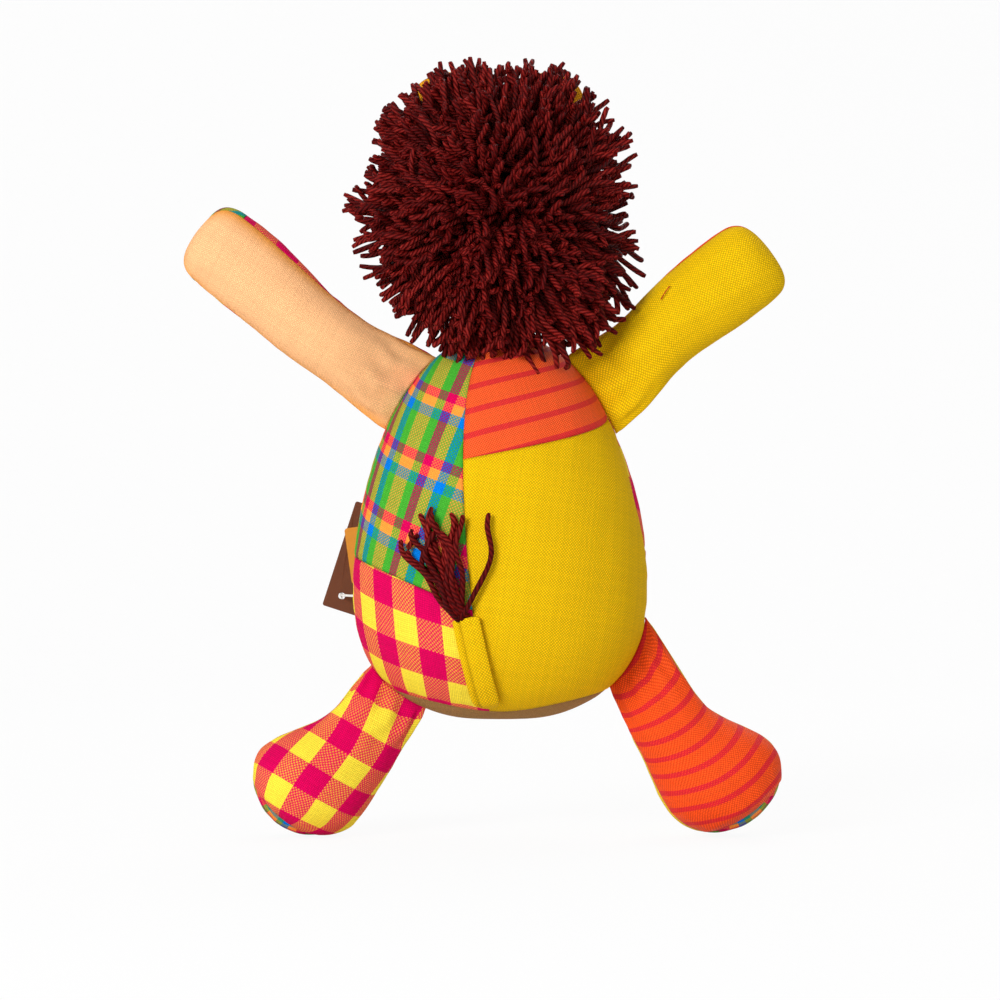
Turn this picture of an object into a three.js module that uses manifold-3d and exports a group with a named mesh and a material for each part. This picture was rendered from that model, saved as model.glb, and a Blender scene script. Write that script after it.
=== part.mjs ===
// Patchwork plush lion: cloth panels sewn over stuffing, with a yarn mane, tail and swing tag.
// Millimetres. +Z is up, the lion faces +Y, and the origin is the middle of its flat seat.
import * as THREE from "three";
import Module from "manifold-3d";

const wasm = await Module();
wasm.setup();

// Cloth and clearances
const CLOTH = 1;
const SEAM_GAP = 0.3;
const FILL_GAP = 0.6;
const TORSO_FILL_GAP = 1.5;

// Torso: an egg with an oval section
const TORSO_HALF_WIDTH = 59;
const TORSO_HALF_DEPTH = 50;
const TORSO_BULGE_Z = 55;
const TORSO_COLLAR_Z = 150;
const TORSO_CROWN_RISE = 5;
const TORSO_UPPER_HEIGHT = TORSO_COLLAR_Z + TORSO_CROWN_RISE - TORSO_BULGE_Z;
const TORSO_LOWER_HEIGHT = 58;
const TORSO_UPPER_POWER = 1.8;
const TORSO_LOWER_POWER = 2.6;
const TORSO_FILL_FLOOR_Z = 12.4;
const TORSO_FILL_DISH_Z = 2.6;

// Seat seam and seat
const SEAT_SEAM_BACK_Z = 3.6;
const SEAT_SEAM_SIDE_Z = 11;
const SEAT_FLAT_SHARE = 0.25;

// Patchwork seams on the torso: heights, and angles in degrees from the middle of the back
const BACK_SEAM_FOOT_ANGLE = -4.5;
const BACK_SEAM_TOP_ANGLE = -22.5;
const BACK_SEAM_POWER = 1.3;
const SIDE_SEAM_ANGLE = 90;
const LEFT_PATCH_SEAM_Z = 40;
const LEFT_PATCH_SEAM_RISE = 24.6;
const RIGHT_PATCH_SEAM_Z = 106;
const RIGHT_PATCH_SEAM_RISE = 0.167;
const FRONT_PATCH_SEAM_Z = 68;

// Neck and head
const NECK_RADIUS = 12;
const NECK_PIVOT_RISE = 2.2;
const NECK_CLEARANCE = 0.4;
const HEAD_HALF_WIDTH = 43;
const HEAD_HALF_DEPTH = 38;
const HEAD_HALF_HEIGHT = 42;
const HEAD_SHIFT_X = -1;
const HEAD_SHIFT_Y = 12;
const HEAD_RISE = 48;

// Face
const MUZZLE_HALF_WIDTH = 17;
const MUZZLE_HALF_HEIGHT = 13;
const MUZZLE_BULGE = 9;
const MUZZLE_DROP = 13;
const NOSE_HALF_WIDTH = 6.5;
const NOSE_HALF_HEIGHT = 4.2;
const NOSE_BULGE = 3;
const NOSE_DROP = 7;
const EYE_RADIUS = 3.6;
const EYE_BULGE = 2.6;
const EYE_SPREAD = 15;
const EYE_RISE = 6;
const TRIM_EDGE = 0.8;

// Ears
const EAR_LENGTH = 21;
const EAR_ROOT_HALF_WIDTH = 11;
const EAR_HALF_WIDTH = 12.5;
const EAR_HALF_DEPTH = 3.2;
const EAR_ROOT_HALF_DEPTH = 1.2;
const EAR_ANGLE = 65;
const EAR_GAP = 0.4;
const EAR_TIP_BLUNT = 0.5;

// Mane: a tied pom-pom of yarn over the back of the head
const MANE_RADIUS = 52;
const MANE_TUFT = 6;
const MANE_DROOP = 13;
const MANE_SHIFT_Y = 2;
const MANE_RIM_ANGLE = 86;
const MANE_RIM_LIFT = 28;
const MANE_TIE_RADIUS = 4;
const MANE_SEAT_GAP = 0.5;
const TUFT_WAVE_ACROSS = 12.9;
const TUFT_WAVE_OUT = 4.1;
const TUFT_WAVE_QUARTER = 7.3;

// Limb seams
const LIMB_GAP = 0.6;
const LIMB_ROOT_HALF_DEPTH = 1.3;
const LIMB_END_HALF_DEPTH = 2.2;
const ROOT_TWIST_SHARE = 0.4;

// Arms
const ARM_ROOT_DROP = 19;
const ARM_ROOT_Z = TORSO_COLLAR_Z - ARM_ROOT_DROP;
const ARM_LEFT_LENGTH = 106;
const ARM_LEFT_ANGLE = 37;
const ARM_RIGHT_LENGTH = 90;
const ARM_RIGHT_ANGLE = 39;
const ARM_ROOT_HALF_WIDTH = 15.4;
const ARM_WAIST_HALF_WIDTH = 14.8;
const ARM_WAIST_AT = 32;
const ARM_PAW_HALF_WIDTH = 17;
const ARM_PAW_BACK = 28;
const ARM_HALF_DEPTH = 13;
const ARM_TIP_ROUND = 17;
const ARM_TIP_BLUNT = 0.5;
const ARM_PAW_SEAM_BACK = 12;
const ARM_RIGHT_FULLER = 0.9;
const ARM_LEFT_SAG = 3.2;
const ARM_LEFT_SAG_AT = 40;
const ARM_LEFT_SAG_END = 75;
const ARM_LEFT_SAG_LEFT = 0.5;

// Legs
const LEG_LEFT_ROOT_Z = 11.4;
const LEG_LEFT_LENGTH = 63;
const LEG_LEFT_ANGLE = -50;
const LEG_LEFT_ROOT_HALF_WIDTH = 14.2;
const LEG_LEFT_SHANK_HALF_WIDTH = 17;
const LEG_LEFT_SHANK_AT = 24;
const LEG_LEFT_FOOT_HALF_WIDTH = 24;
const LEG_LEFT_FOOT_BACK = 13;
const LEG_LEFT_SOLE_HALF_WIDTH = 19.6;
const LEG_RIGHT_ROOT_Z = 22.4;
const LEG_RIGHT_LENGTH = 72;
const LEG_RIGHT_ANGLE = -55;
const LEG_RIGHT_ROOT_HALF_WIDTH = 15;
const LEG_RIGHT_SHANK_HALF_WIDTH = 16.2;
const LEG_RIGHT_SHANK_AT = 30;
const LEG_RIGHT_FOOT_HALF_WIDTH = 24.6;
const LEG_RIGHT_FOOT_BACK = 15;
const LEG_RIGHT_SOLE_HALF_WIDTH = 21;
const LEG_HALF_DEPTH = 12;
const FOOT_HALF_DEPTH = 19;
const SOLE_HALF_DEPTH = 17;
const FOOT_FORWARD = -2;
const SOLE_BULGE = 5;
const STAND_Z = -47.2;

// Tail
const TAIL_ROOT_Z = 5.5;
const TAIL_TIP_Z = 42;
const TAIL_ROOT_ANGLE = -7;
const TAIL_TIP_ANGLE = -12.8;
const TAIL_HALF_WIDTH = 5.5;
const TAIL_HALF_THICKNESS = 2;
const TAIL_GAP = 0.4;
const TUFT_ROOT_RISE = 1.2;
const TUFT_TIP_Z = 80;
const TUFT_TIP_ANGLE = -20;
const TUFT_ROOT_HALF_WIDTH = 3.6;
const TUFT_TIP_HALF_WIDTH = 15;
const TUFT_THICKNESS = 4;
const TUFT_TIP_THICKNESS = 1.6;
const TUFT_RAGGED = 5;
const TUFT_LIFT = 1;

// Swing tag
const TAG_WIDTH = 28;
const TAG_HEIGHT = 45;
const TAG_CARD = 0.6;
const TAG_OUT = 14.2;
const TAG_CORNER_X = -TORSO_HALF_WIDTH - TAG_OUT;
const TAG_CORNER_Z = 44;
const TAG_BACK = 6;
const TAG_Y = TORSO_HALF_DEPTH - TAG_BACK;
const TAG_TILT = 15;
const TAG_HOLE_RADIUS = 1.4;
const TAG_HOLE_IN = 6.5;
const TAG_HOLE_UP = 6;
const SMALL_CARD_WIDTH = 13;
const SMALL_CARD_HEIGHT = 23;
const SMALL_CARD_IN = 9;
const SMALL_CARD_UP = 12;
const SMALL_CARD_TILT = -8;
const TIE_RADIUS = 0.5;
const TIE_BAR_HALF_LENGTH = 3;
const TIE_REACH = 4;
const TIE_ANCHOR_ANGLE = -121.5;
const TIE_GAP = 0.4;

// Facets
const PANEL_COLUMNS = 8;
const PANEL_ROWS = 10;
const LIMB_COLUMNS = 6;
const LIMB_ROWS = 7;
const TIP_ROWS = 4;
const RING_SIDES = 28;
const DOME_RINGS = 6;
const TRIM_SIDES = 14;
const TRIM_RINGS = 3;
const TORSO_RINGS = 12;
const MANE_COLUMNS = 11;
const MANE_ROWS = 9;

// Cloth colours
const MUSTARD = 0xd9b61e;
const ORANGE = 0xf4622a;
const RUST = 0xd9601f;
const PLAID = 0x7fae52;
const GINGHAM = 0xe8577a;
const PEACH = 0xf7c796;
const YELLOW = 0xf2cf3a;
const GOLDEN = 0xf2a020;
const TAN = 0xa67d4b;
const MAROON = 0x5e1418;
const FIBRE = 0xf3f0e8;
const CARD_BROWN = 0x6b3a1c;
const CARD_ORANGE = 0xe0922a;
const BLACK = 0x141414;
const CLEAR_WHITE = 0xe8e6e0;

const lion = new THREE.Group();
const V = (x, y, z) => new THREE.Vector3(x, y, z);
const rad = THREE.MathUtils.degToRad;
const mix = THREE.MathUtils.lerp;
const FRONT = V(0, 1, 0);

function addPiece(name, geometry, color, roughness = 0.9) {
  const material = new THREE.MeshStandardMaterial({ color, roughness, metalness: 0 });
  const mesh = new THREE.Mesh(geometry, material);
  mesh.name = name;
  lion.add(mesh);
}

// A closed solid from its corners and triangles, turned to face out
function solidGeometry(points, triangles) {
  let volume = 0;
  for (const [a, b, c] of triangles) {
    volume += points[a].dot(points[b].clone().cross(points[c]));
  }
  const index = triangles.flatMap(([a, b, c]) => (volume < 0 ? [a, c, b] : [a, b, c]));
  const geometry = new THREE.BufferGeometry().setFromPoints(points);
  geometry.setIndex(index);
  geometry.computeVertexNormals();
  return geometry;
}

function quad(triangles, a, b, c, d) {
  triangles.push([a, b, c], [a, c, d]);
}

// A sheet with an outer and an inner grid, closed round its four edges
function sheetSolid(rows, columns, outer, inner) {
  const points = [];
  const triangles = [];
  const stride = columns + 1;
  const layer = (rows + 1) * stride;
  for (const face of [outer, inner]) {
    for (let r = 0; r <= rows; r++) {
      for (let c = 0; c <= columns; c++) {
        points.push(face(c / columns, r / rows, c, r));
      }
    }
  }
  for (let r = 0; r < rows; r++) {
    for (let c = 0; c < columns; c++) {
      const a = r * stride + c;
      quad(triangles, a, a + 1, a + 1 + stride, a + stride);
      quad(triangles, layer + a, layer + a + stride, layer + a + 1 + stride, layer + a + 1);
    }
  }
  for (let c = 0; c < columns; c++) {
    const top = rows * stride + c;
    quad(triangles, c, layer + c, layer + c + 1, c + 1);
    quad(triangles, top, top + 1, layer + top + 1, layer + top);
  }
  for (let r = 0; r < rows; r++) {
    const left = r * stride;
    const right = left + columns;
    quad(triangles, left, left + stride, layer + left + stride, layer + left);
    quad(triangles, right, layer + right, layer + right + stride, right + stride);
  }
  return solidGeometry(points, triangles);
}

// Rings joined in a row, with each end closed by a fan to its own middle
function loftSolid(rings, firstMiddle, lastMiddle) {
  const sides = rings[0].length;
  const points = rings.flat();
  const triangles = [];
  for (let k = 0; k + 1 < rings.length; k++) {
    for (let i = 0; i < sides; i++) {
      const a = k * sides + i;
      const b = k * sides + ((i + 1) % sides);
      quad(triangles, a, b, b + sides, a + sides);
    }
  }
  const first = points.push(firstMiddle) - 1;
  const last = points.push(lastMiddle) - 1;
  const lastRing = (rings.length - 1) * sides;
  for (let i = 0; i < sides; i++) {
    const j = (i + 1) % sides;
    triangles.push([first, j, i], [last, lastRing + i, lastRing + j]);
  }
  return solidGeometry(points, triangles);
}

// A dome with an outer and an inner face, both given by share of radius and turn
function domeSolid(rings, sides, outer, inner) {
  const loops = [];
  const loop = (face, share) =>
    Array.from({ length: sides }, (_, i) => face(share, (2 * Math.PI * i) / sides));
  for (let k = 1; k <= rings; k++) loops.push(loop(outer, k / rings));
  for (let k = rings; k >= 1; k--) loops.push(loop(inner, k / rings));
  return loftSolid(loops, outer(0, 0), inner(0, 0));
}

// A smooth value through stations of place and value
function through(stations, at) {
  const last = stations.length - 1;
  let k = 0;
  while (k < last - 1 && at > stations[k + 1][0]) k++;
  const slope = (i) => {
    const a = stations[Math.max(i - 1, 0)];
    const b = stations[Math.min(i + 1, last)];
    return (b[1] - a[1]) / (b[0] - a[0]);
  };
  const [x0, y0] = stations[k];
  const [x1, y1] = stations[k + 1];
  const h = x1 - x0;
  const t = THREE.MathUtils.clamp((at - x0) / h, 0, 1);
  const s = t * t * (3 - 2 * t);
  const rise = h * slope(k) * t * (1 - t) * (1 - t) - h * slope(k + 1) * t * t * (1 - t);
  return mix(y0, y1, s) + rise;
}

function toManifold(geometry) {
  const vertProperties = new Float32Array(geometry.attributes.position.array);
  const triVerts = new Uint32Array(geometry.index.array);
  return new wasm.Manifold(new wasm.Mesh({ numProp: 3, vertProperties, triVerts }));
}

function fromManifold(solid) {
  const mesh = solid.getMesh();
  const geometry = new THREE.BufferGeometry();
  geometry.setAttribute("position", new THREE.BufferAttribute(mesh.vertProperties, 3));
  geometry.setIndex(new THREE.BufferAttribute(mesh.triVerts, 1));
  geometry.computeVertexNormals();
  return geometry;
}

// A closed solid from a geometry whose faces each hold their own corners
function welded(geometry) {
  const corners = geometry.attributes.position;
  const points = [];
  const places = new Map();
  const index = [];
  for (let i = 0; i < corners.count; i++) {
    const point = V(corners.getX(i), corners.getY(i), corners.getZ(i));
    const key = point.toArray().map((value) => value.toFixed(4)).join();
    if (!places.has(key)) places.set(key, points.push(point) - 1);
    index.push(places.get(key));
  }
  const triangles = [];
  for (let i = 0; i < index.length; i += 3) triangles.push(index.slice(i, i + 3));
  return toManifold(solidGeometry(points, triangles));
}

// Torso surface
function eggShare(z) {
  const above = z > TORSO_BULGE_Z;
  const t = above ? (z - TORSO_BULGE_Z) / TORSO_UPPER_HEIGHT : (TORSO_BULGE_Z - z) / TORSO_LOWER_HEIGHT;
  return Math.sqrt(1 - t ** (above ? TORSO_UPPER_POWER : TORSO_LOWER_POWER));
}

function eggSlope(z) {
  const step = 0.01;
  return (eggShare(z + step) - eggShare(z - step)) / (2 * step);
}

function torsoNormal(turn, z) {
  const x = Math.sin(rad(turn)) / TORSO_HALF_WIDTH;
  const y = -Math.cos(rad(turn)) / TORSO_HALF_DEPTH;
  return V(x, y, -eggSlope(z)).normalize();
}

function torsoPoint(turn, z, proud = 0) {
  const share = eggShare(z);
  const x = TORSO_HALF_WIDTH * share * Math.sin(rad(turn));
  const y = -TORSO_HALF_DEPTH * share * Math.cos(rad(turn));
  return V(x, y, z).addScaledVector(torsoNormal(turn, z), proud);
}

function seatSeamZ(turn) {
  return mix(SEAT_SEAM_BACK_Z, SEAT_SEAM_SIDE_Z, Math.sin(rad(turn)) ** 2);
}

function backSeamTurn(z) {
  const share = Math.max(z, 0) / TORSO_COLLAR_Z;
  return mix(BACK_SEAM_FOOT_ANGLE, BACK_SEAM_TOP_ANGLE, share ** BACK_SEAM_POWER);
}

// Torso panels, each between two upright seams and two level ones
const FULL_TURN = 360;
const HALF_TURN = 180;
const collar = () => TORSO_COLLAR_Z;
const seatSeam = (turn) => seatSeamZ(turn) + SEAM_GAP;
const leftPatchSeam = (turn) => LEFT_PATCH_SEAM_Z - LEFT_PATCH_SEAM_RISE * Math.sin(rad(turn));
const rightPatchSeam = (turn) => RIGHT_PATCH_SEAM_Z + RIGHT_PATCH_SEAM_RISE * turn;
const frontPatchSeam = () => FRONT_PATCH_SEAM_Z;
const leftSide = () => -SIDE_SEAM_ANGLE;
const rightSide = () => SIDE_SEAM_ANGLE;
const frontMiddle = () => HALF_TURN;
const frontMiddleFromLeft = () => HALF_TURN - FULL_TURN;

function torsoPanel(fromTurn, toTurn, lowZ, highZ) {
  const place = (u, v) => {
    let z = TORSO_BULGE_Z;
    let turn = 0;
    for (let pass = 0; pass < 6; pass++) {
      const inset = THREE.MathUtils.radToDeg(SEAM_GAP / 2 / (TORSO_HALF_DEPTH * eggShare(z)));
      turn = mix(fromTurn(z) + inset, toTurn(z) - inset, u);
      z = mix(lowZ(turn) + SEAM_GAP / 2, highZ(turn) - SEAM_GAP / 2, v);
    }
    return [turn, z];
  };
  const face = (depth) => (u, v) => torsoPoint(...place(u, v), -depth);
  return sheetSolid(PANEL_ROWS, PANEL_COLUMNS, face(0), face(CLOTH));
}

function addTorso() {
  const panels = [
    ["torso_back_left_upper", leftSide, backSeamTurn, leftPatchSeam, collar, PLAID],
    ["torso_back_left_lower", leftSide, backSeamTurn, seatSeam, leftPatchSeam, GINGHAM],
    ["torso_back_right_upper", backSeamTurn, rightSide, rightPatchSeam, collar, ORANGE],
    ["torso_back_right_lower", backSeamTurn, rightSide, seatSeam, rightPatchSeam, MUSTARD],
    ["torso_front_left", frontMiddleFromLeft, leftSide, seatSeam, collar, PLAID],
    ["torso_front_right_upper", rightSide, frontMiddle, frontPatchSeam, collar, GINGHAM],
    ["torso_front_right_lower", rightSide, frontMiddle, seatSeam, frontPatchSeam, RUST],
  ];
  for (const [name, from, to, low, high, color] of panels) {
    addPiece(name, torsoPanel(from, to, low, high), color);
  }
  const inset = CLOTH + TORSO_FILL_GAP;
  const topZ = TORSO_COLLAR_Z - inset;
  const rings = Array.from({ length: TORSO_RINGS + 1 }, (_, k) => {
    const share = (1 - Math.cos((Math.PI * k) / TORSO_RINGS)) / 2;
    const z = mix(TORSO_FILL_FLOOR_Z, topZ, share);
    return Array.from({ length: RING_SIDES }, (_, i) => {
      const point = torsoPoint((FULL_TURN * i) / RING_SIDES, z, -inset);
      return point.setZ(THREE.MathUtils.clamp(point.z, TORSO_FILL_FLOOR_Z, topZ));
    });
  });
  rings.push(
    Array.from({ length: RING_SIDES }, (_, i) => {
      const turn = rad((FULL_TURN * i) / RING_SIDES);
      return V(NECK_RADIUS * Math.sin(turn), -NECK_RADIUS * Math.cos(turn), TORSO_COLLAR_Z);
    }),
  );
  const fill = loftSolid(rings, V(0, 0, TORSO_FILL_DISH_Z), V(0, 0, TORSO_COLLAR_Z));
  addPiece("torso_stuffing", fill, FIBRE, 1);
}

// Seat: flat in the middle and curving up to its seam
function addSeat() {
  const face = (lift) => (share, turn) => {
    const degrees = THREE.MathUtils.radToDeg(turn);
    const edge = torsoPoint(degrees, seatSeamZ(degrees) - SEAM_GAP / 2);
    const rise = Math.max(0, (share - SEAT_FLAT_SHARE) / (1 - SEAT_FLAT_SHARE));
    return V(edge.x * share, edge.y * share, edge.z * rise * rise + lift);
  };
  const outer = face(0);
  const inner = (share, turn) => {
    const point = face(CLOTH)(share, turn);
    const shrink = 1 - (CLOTH * share) / Math.hypot(point.x, point.y, 1);
    return share < 1 ? point : V(point.x * shrink, point.y * shrink, point.z - CLOTH);
  };
  addPiece("base_panel", domeSolid(DOME_RINGS + 2, RING_SIDES, outer, inner), TAN);
}

// Head
const NECK_PIVOT = V(0, 0, TORSO_COLLAR_Z + NECK_PIVOT_RISE);
const HEAD = V(HEAD_SHIFT_X, HEAD_SHIFT_Y, NECK_PIVOT.z + HEAD_RISE);

function headPoint(angle, turn, side, inset) {
  const out = Math.sin(angle);
  const x = (HEAD_HALF_WIDTH - inset) * out * Math.cos(turn);
  const z = (HEAD_HALF_HEIGHT - inset) * out * Math.sin(turn);
  const y = (HEAD_HALF_DEPTH - inset) * Math.cos(angle) + SEAM_GAP / 2;
  return V(x, side * y, z).add(HEAD);
}

function headDome(side) {
  const face = (inset) => (share, turn) => headPoint((share * Math.PI) / 2, turn, side, inset);
  return domeSolid(DOME_RINGS, RING_SIDES, face(0), face(CLOTH));
}

function headFill() {
  const inset = CLOTH + FILL_GAP;
  const rings = [];
  const steps = 2 * DOME_RINGS;
  for (let k = 1; k < steps; k++) {
    const angle = (Math.PI * k) / steps;
    rings.push(
      Array.from({ length: RING_SIDES }, (_, i) => {
        const point = headPoint(angle, (2 * Math.PI * i) / RING_SIDES, 1, inset);
        return point.setY(point.y - SEAM_GAP / 2);
      }),
    );
  }
  const pole = HEAD_HALF_DEPTH - inset;
  return loftSolid(rings, V(HEAD.x, HEAD.y + pole, HEAD.z), V(HEAD.x, HEAD.y - pole, HEAD.z));
}

function addNeck() {
  const rise = TORSO_COLLAR_Z + SEAM_GAP - NECK_PIVOT.z;
  const foot = Math.sqrt(NECK_RADIUS ** 2 - rise ** 2);
  const rings = [];
  const low = Math.asin(rise / NECK_RADIUS);
  for (let k = 0; k <= DOME_RINGS; k++) {
    const lift = mix(low, Math.PI / 2, k / (DOME_RINGS + 1));
    rings.push(
      Array.from({ length: RING_SIDES }, (_, i) => {
        const turn = (2 * Math.PI * i) / RING_SIDES;
        const out = k === 0 ? foot : NECK_RADIUS * Math.cos(lift);
        return V(out * Math.cos(turn), out * Math.sin(turn), NECK_RADIUS * Math.sin(lift)).add(NECK_PIVOT);
      }),
    );
  }
  const crown = NECK_PIVOT.clone().setZ(NECK_PIVOT.z + NECK_RADIUS);
  const seat = NECK_PIVOT.clone().setZ(NECK_PIVOT.z + rise);
  addPiece("neck_stuffing", loftSolid(rings, seat, crown), FIBRE, 1);
}

function addHead() {
  const socket = new THREE.IcosahedronGeometry(NECK_RADIUS + 2 * NECK_CLEARANCE, 4);
  socket.translate(NECK_PIVOT.x, NECK_PIVOT.y, NECK_PIVOT.z);
  const hollow = welded(socket);
  const carve = (geometry) => fromManifold(toManifold(geometry).subtract(hollow));
  addPiece("head_stuffing", carve(headFill()), FIBRE, 1);
  addPiece("head_back_panel", carve(headDome(-1)), GOLDEN);
  addPiece("head_face_panel", carve(headDome(1)), GOLDEN);
}

// Face pieces are low domes that follow what they sit on
function faceY(x, z) {
  const across = (x - HEAD.x) / HEAD_HALF_WIDTH;
  const up = (z - HEAD.z) / HEAD_HALF_HEIGHT;
  return HEAD.y + SEAM_GAP / 2 + HEAD_HALF_DEPTH * Math.sqrt(1 - across * across - up * up);
}

function muzzleY(x, z) {
  const across = (x - HEAD.x) / MUZZLE_HALF_WIDTH;
  const up = (z - HEAD.z + MUZZLE_DROP) / MUZZLE_HALF_HEIGHT;
  const crown = MUZZLE_BULGE * Math.sqrt(Math.max(0, 1 - across * across - up * up));
  return faceY(x, z) + SEAM_GAP + TRIM_EDGE + crown;
}

function trimDome(middleX, middleZ, halfWidth, halfHeight, bulge, seatY) {
  const place = (share, turn) => {
    const reach = Math.sin((share * Math.PI) / 2);
    return [middleX + halfWidth * reach * Math.cos(turn), middleZ + halfHeight * reach * Math.sin(turn)];
  };
  const inner = (share, turn) => {
    const [x, z] = place(share, turn);
    return V(x, seatY(x, z) + SEAM_GAP, z);
  };
  const outer = (share, turn) => {
    const crown = bulge * Math.cos((share * Math.PI) / 2);
    return inner(share, turn).add(V(0, TRIM_EDGE + crown, 0));
  };
  return domeSolid(TRIM_RINGS, TRIM_SIDES, outer, inner);
}

function addFace() {
  const muzzle = trimDome(
    HEAD.x,
    HEAD.z - MUZZLE_DROP,
    MUZZLE_HALF_WIDTH,
    MUZZLE_HALF_HEIGHT,
    MUZZLE_BULGE,
    faceY,
  );
  addPiece("muzzle", muzzle, PEACH);
  const nose = trimDome(HEAD.x, HEAD.z - NOSE_DROP, NOSE_HALF_WIDTH, NOSE_HALF_HEIGHT, NOSE_BULGE, muzzleY);
  addPiece("nose", nose, BLACK, 0.5);
  for (const [name, side] of [["eye_left", -1], ["eye_right", 1]]) {
    const x = HEAD.x + side * EYE_SPREAD;
    const eye = trimDome(x, HEAD.z + EYE_RISE, EYE_RADIUS, EYE_RADIUS, EYE_BULGE, faceY);
    addPiece(name, eye, BLACK, 0.3);
  }
}

// A limb is a flat-rooted tube: oval sections along an axis from a sewn root line
function limbPoint(limb, s, turn, inset, floor = STAND_Z + CLOTH + SEAM_GAP) {
  const along = mix(inset, limb.length - inset, s / limb.length);
  const twist = THREE.MathUtils.smoothstep(s, 0, ROOT_TWIST_SHARE * limb.length);
  const across = limb.rootLine.clone().lerp(limb.across, twist).normalize();
  const point = limb.root.clone().addScaledVector(limb.axis, along);
  point.addScaledVector(across, limb.sag(s) + (limb.halfWidth(s) - inset) * Math.sin(turn));
  point.y += limb.forward(s) + (limb.halfDepth(s) - inset) * Math.cos(turn);
  return point.setZ(Math.max(point.z, floor + inset));
}

function limbPanel(limb, side, stations) {
  const turnAt = (u) => (u - 0.5) * Math.PI;
  const face = (inset) => (u, v, c, r) => {
    const s = stations[r];
    const turn = side > 0 ? turnAt(u) : Math.PI - turnAt(u);
    const point = limbPoint(limb, s, turn, inset);
    return point.add(V(0, (side * SEAM_GAP) / 2, 0));
  };
  return sheetSolid(stations.length - 1, LIMB_COLUMNS, face(0), face(CLOTH));
}

function limbFill(limb, stations) {
  const inset = CLOTH + FILL_GAP;
  const sides = 2 * LIMB_COLUMNS;
  const rings = stations.map((s) =>
    Array.from({ length: sides }, (_, i) => limbPoint(limb, s, (2 * Math.PI * i) / sides, inset)),
  );
  const middle = (ring) => ring.reduce((sum, p) => sum.add(p), V(0, 0, 0)).divideScalar(sides);
  return loftSolid(rings, middle(rings[0]), middle(rings[rings.length - 1]));
}

// A limb's root line lies against the torso's side, along its profile
function limbAtSide(side, rootZ, angle, length) {
  const outward = torsoNormal(side * SIDE_SEAM_ANGLE, rootZ);
  const root = torsoPoint(side * SIDE_SEAM_ANGLE, rootZ, LIMB_GAP);
  const axis = V(side * Math.cos(rad(angle)), 0, Math.sin(rad(angle)));
  const rootLine = FRONT.clone().cross(outward).multiplyScalar(-side);
  const across = FRONT.clone().cross(axis).multiplyScalar(-side);
  return { root, axis, rootLine, across, length };
}

const evenStations = (from, to, count) =>
  Array.from({ length: count + 1 }, (_, k) => mix(from, to, k / count));

function makeArm(side, length, angle, fuller, sags) {
  const arm = limbAtSide(side, ARM_ROOT_Z, angle, length);
  const tipFrom = length - ARM_TIP_ROUND;
  const tipShare = (s) => Math.max(0, s - tipFrom) / ARM_TIP_ROUND;
  const widths = [
    [0, ARM_ROOT_HALF_WIDTH + fuller],
    [ARM_WAIST_AT, ARM_WAIST_HALF_WIDTH + fuller],
    [length - ARM_PAW_BACK, ARM_PAW_HALF_WIDTH + fuller],
    [length, ARM_PAW_HALF_WIDTH + fuller],
  ];
  const depths = [
    [0, LIMB_ROOT_HALF_DEPTH],
    [ARM_WAIST_AT, ARM_HALF_DEPTH],
    [length, ARM_HALF_DEPTH],
  ];
  const blunt = 1 - ARM_TIP_BLUNT ** 2;
  arm.halfWidth = (s) => through(widths, s) * Math.sqrt(1 - blunt * tipShare(s) ** 2);
  arm.halfDepth = (s) => {
    const full = through(depths, s);
    return Math.max(Math.min(full, LIMB_END_HALF_DEPTH), full * Math.sqrt(Math.max(0, 1 - tipShare(s) ** 2)));
  };
  arm.forward = () => 0;
  arm.sag = (s) => through(sags, s);
  arm.tipFrom = tipFrom;
  return arm;
}

function tipStations(from, to) {
  const share = (k) => Math.sin((Math.PI * (k + 1)) / (2 * TIP_ROWS));
  return Array.from({ length: TIP_ROWS }, (_, k) => mix(from, to, share(k)));
}

function addArms() {
  const leftSags = [
    [0, 0],
    [ARM_LEFT_SAG_AT, -ARM_LEFT_SAG],
    [ARM_LEFT_SAG_END, -ARM_LEFT_SAG_LEFT],
    [ARM_LEFT_LENGTH, 0],
  ];
  const straight = [[0, 0], [ARM_RIGHT_LENGTH, 0]];
  const left = makeArm(-1, ARM_LEFT_LENGTH, ARM_LEFT_ANGLE, 0, leftSags);
  const right = makeArm(1, ARM_RIGHT_LENGTH, ARM_RIGHT_ANGLE, ARM_RIGHT_FULLER, straight);
  for (const [name, arm, color] of [["arm_left", left, PEACH], ["arm_right", right, MUSTARD]]) {
    const tip = tipStations(arm.tipFrom, arm.length);
    const stations = [...evenStations(0, arm.tipFrom, LIMB_ROWS), ...tip];
    addPiece(`${name}_stuffing`, limbFill(arm, stations.slice(1)), FIBRE, 1);
    addPiece(`${name}_back_panel`, limbPanel(arm, -1, stations), color);
  }
  const pawSeam = left.length - ARM_PAW_SEAM_BACK;
  const sleeve = [...evenStations(0, left.tipFrom, LIMB_ROWS), pawSeam - SEAM_GAP / 2];
  const pawFrom = pawSeam + SEAM_GAP / 2;
  const paw = [pawFrom, ...tipStations(pawFrom, left.length)];
  addPiece("arm_left_front_panel", limbPanel(left, 1, sleeve), GINGHAM);
  addPiece("arm_left_paw_panel", limbPanel(left, 1, paw), PLAID);
  const whole = [...evenStations(0, right.tipFrom, LIMB_ROWS), ...tipStations(right.tipFrom, right.length)];
  addPiece("arm_right_front_panel", limbPanel(right, 1, whole), ORANGE);
}

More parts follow.
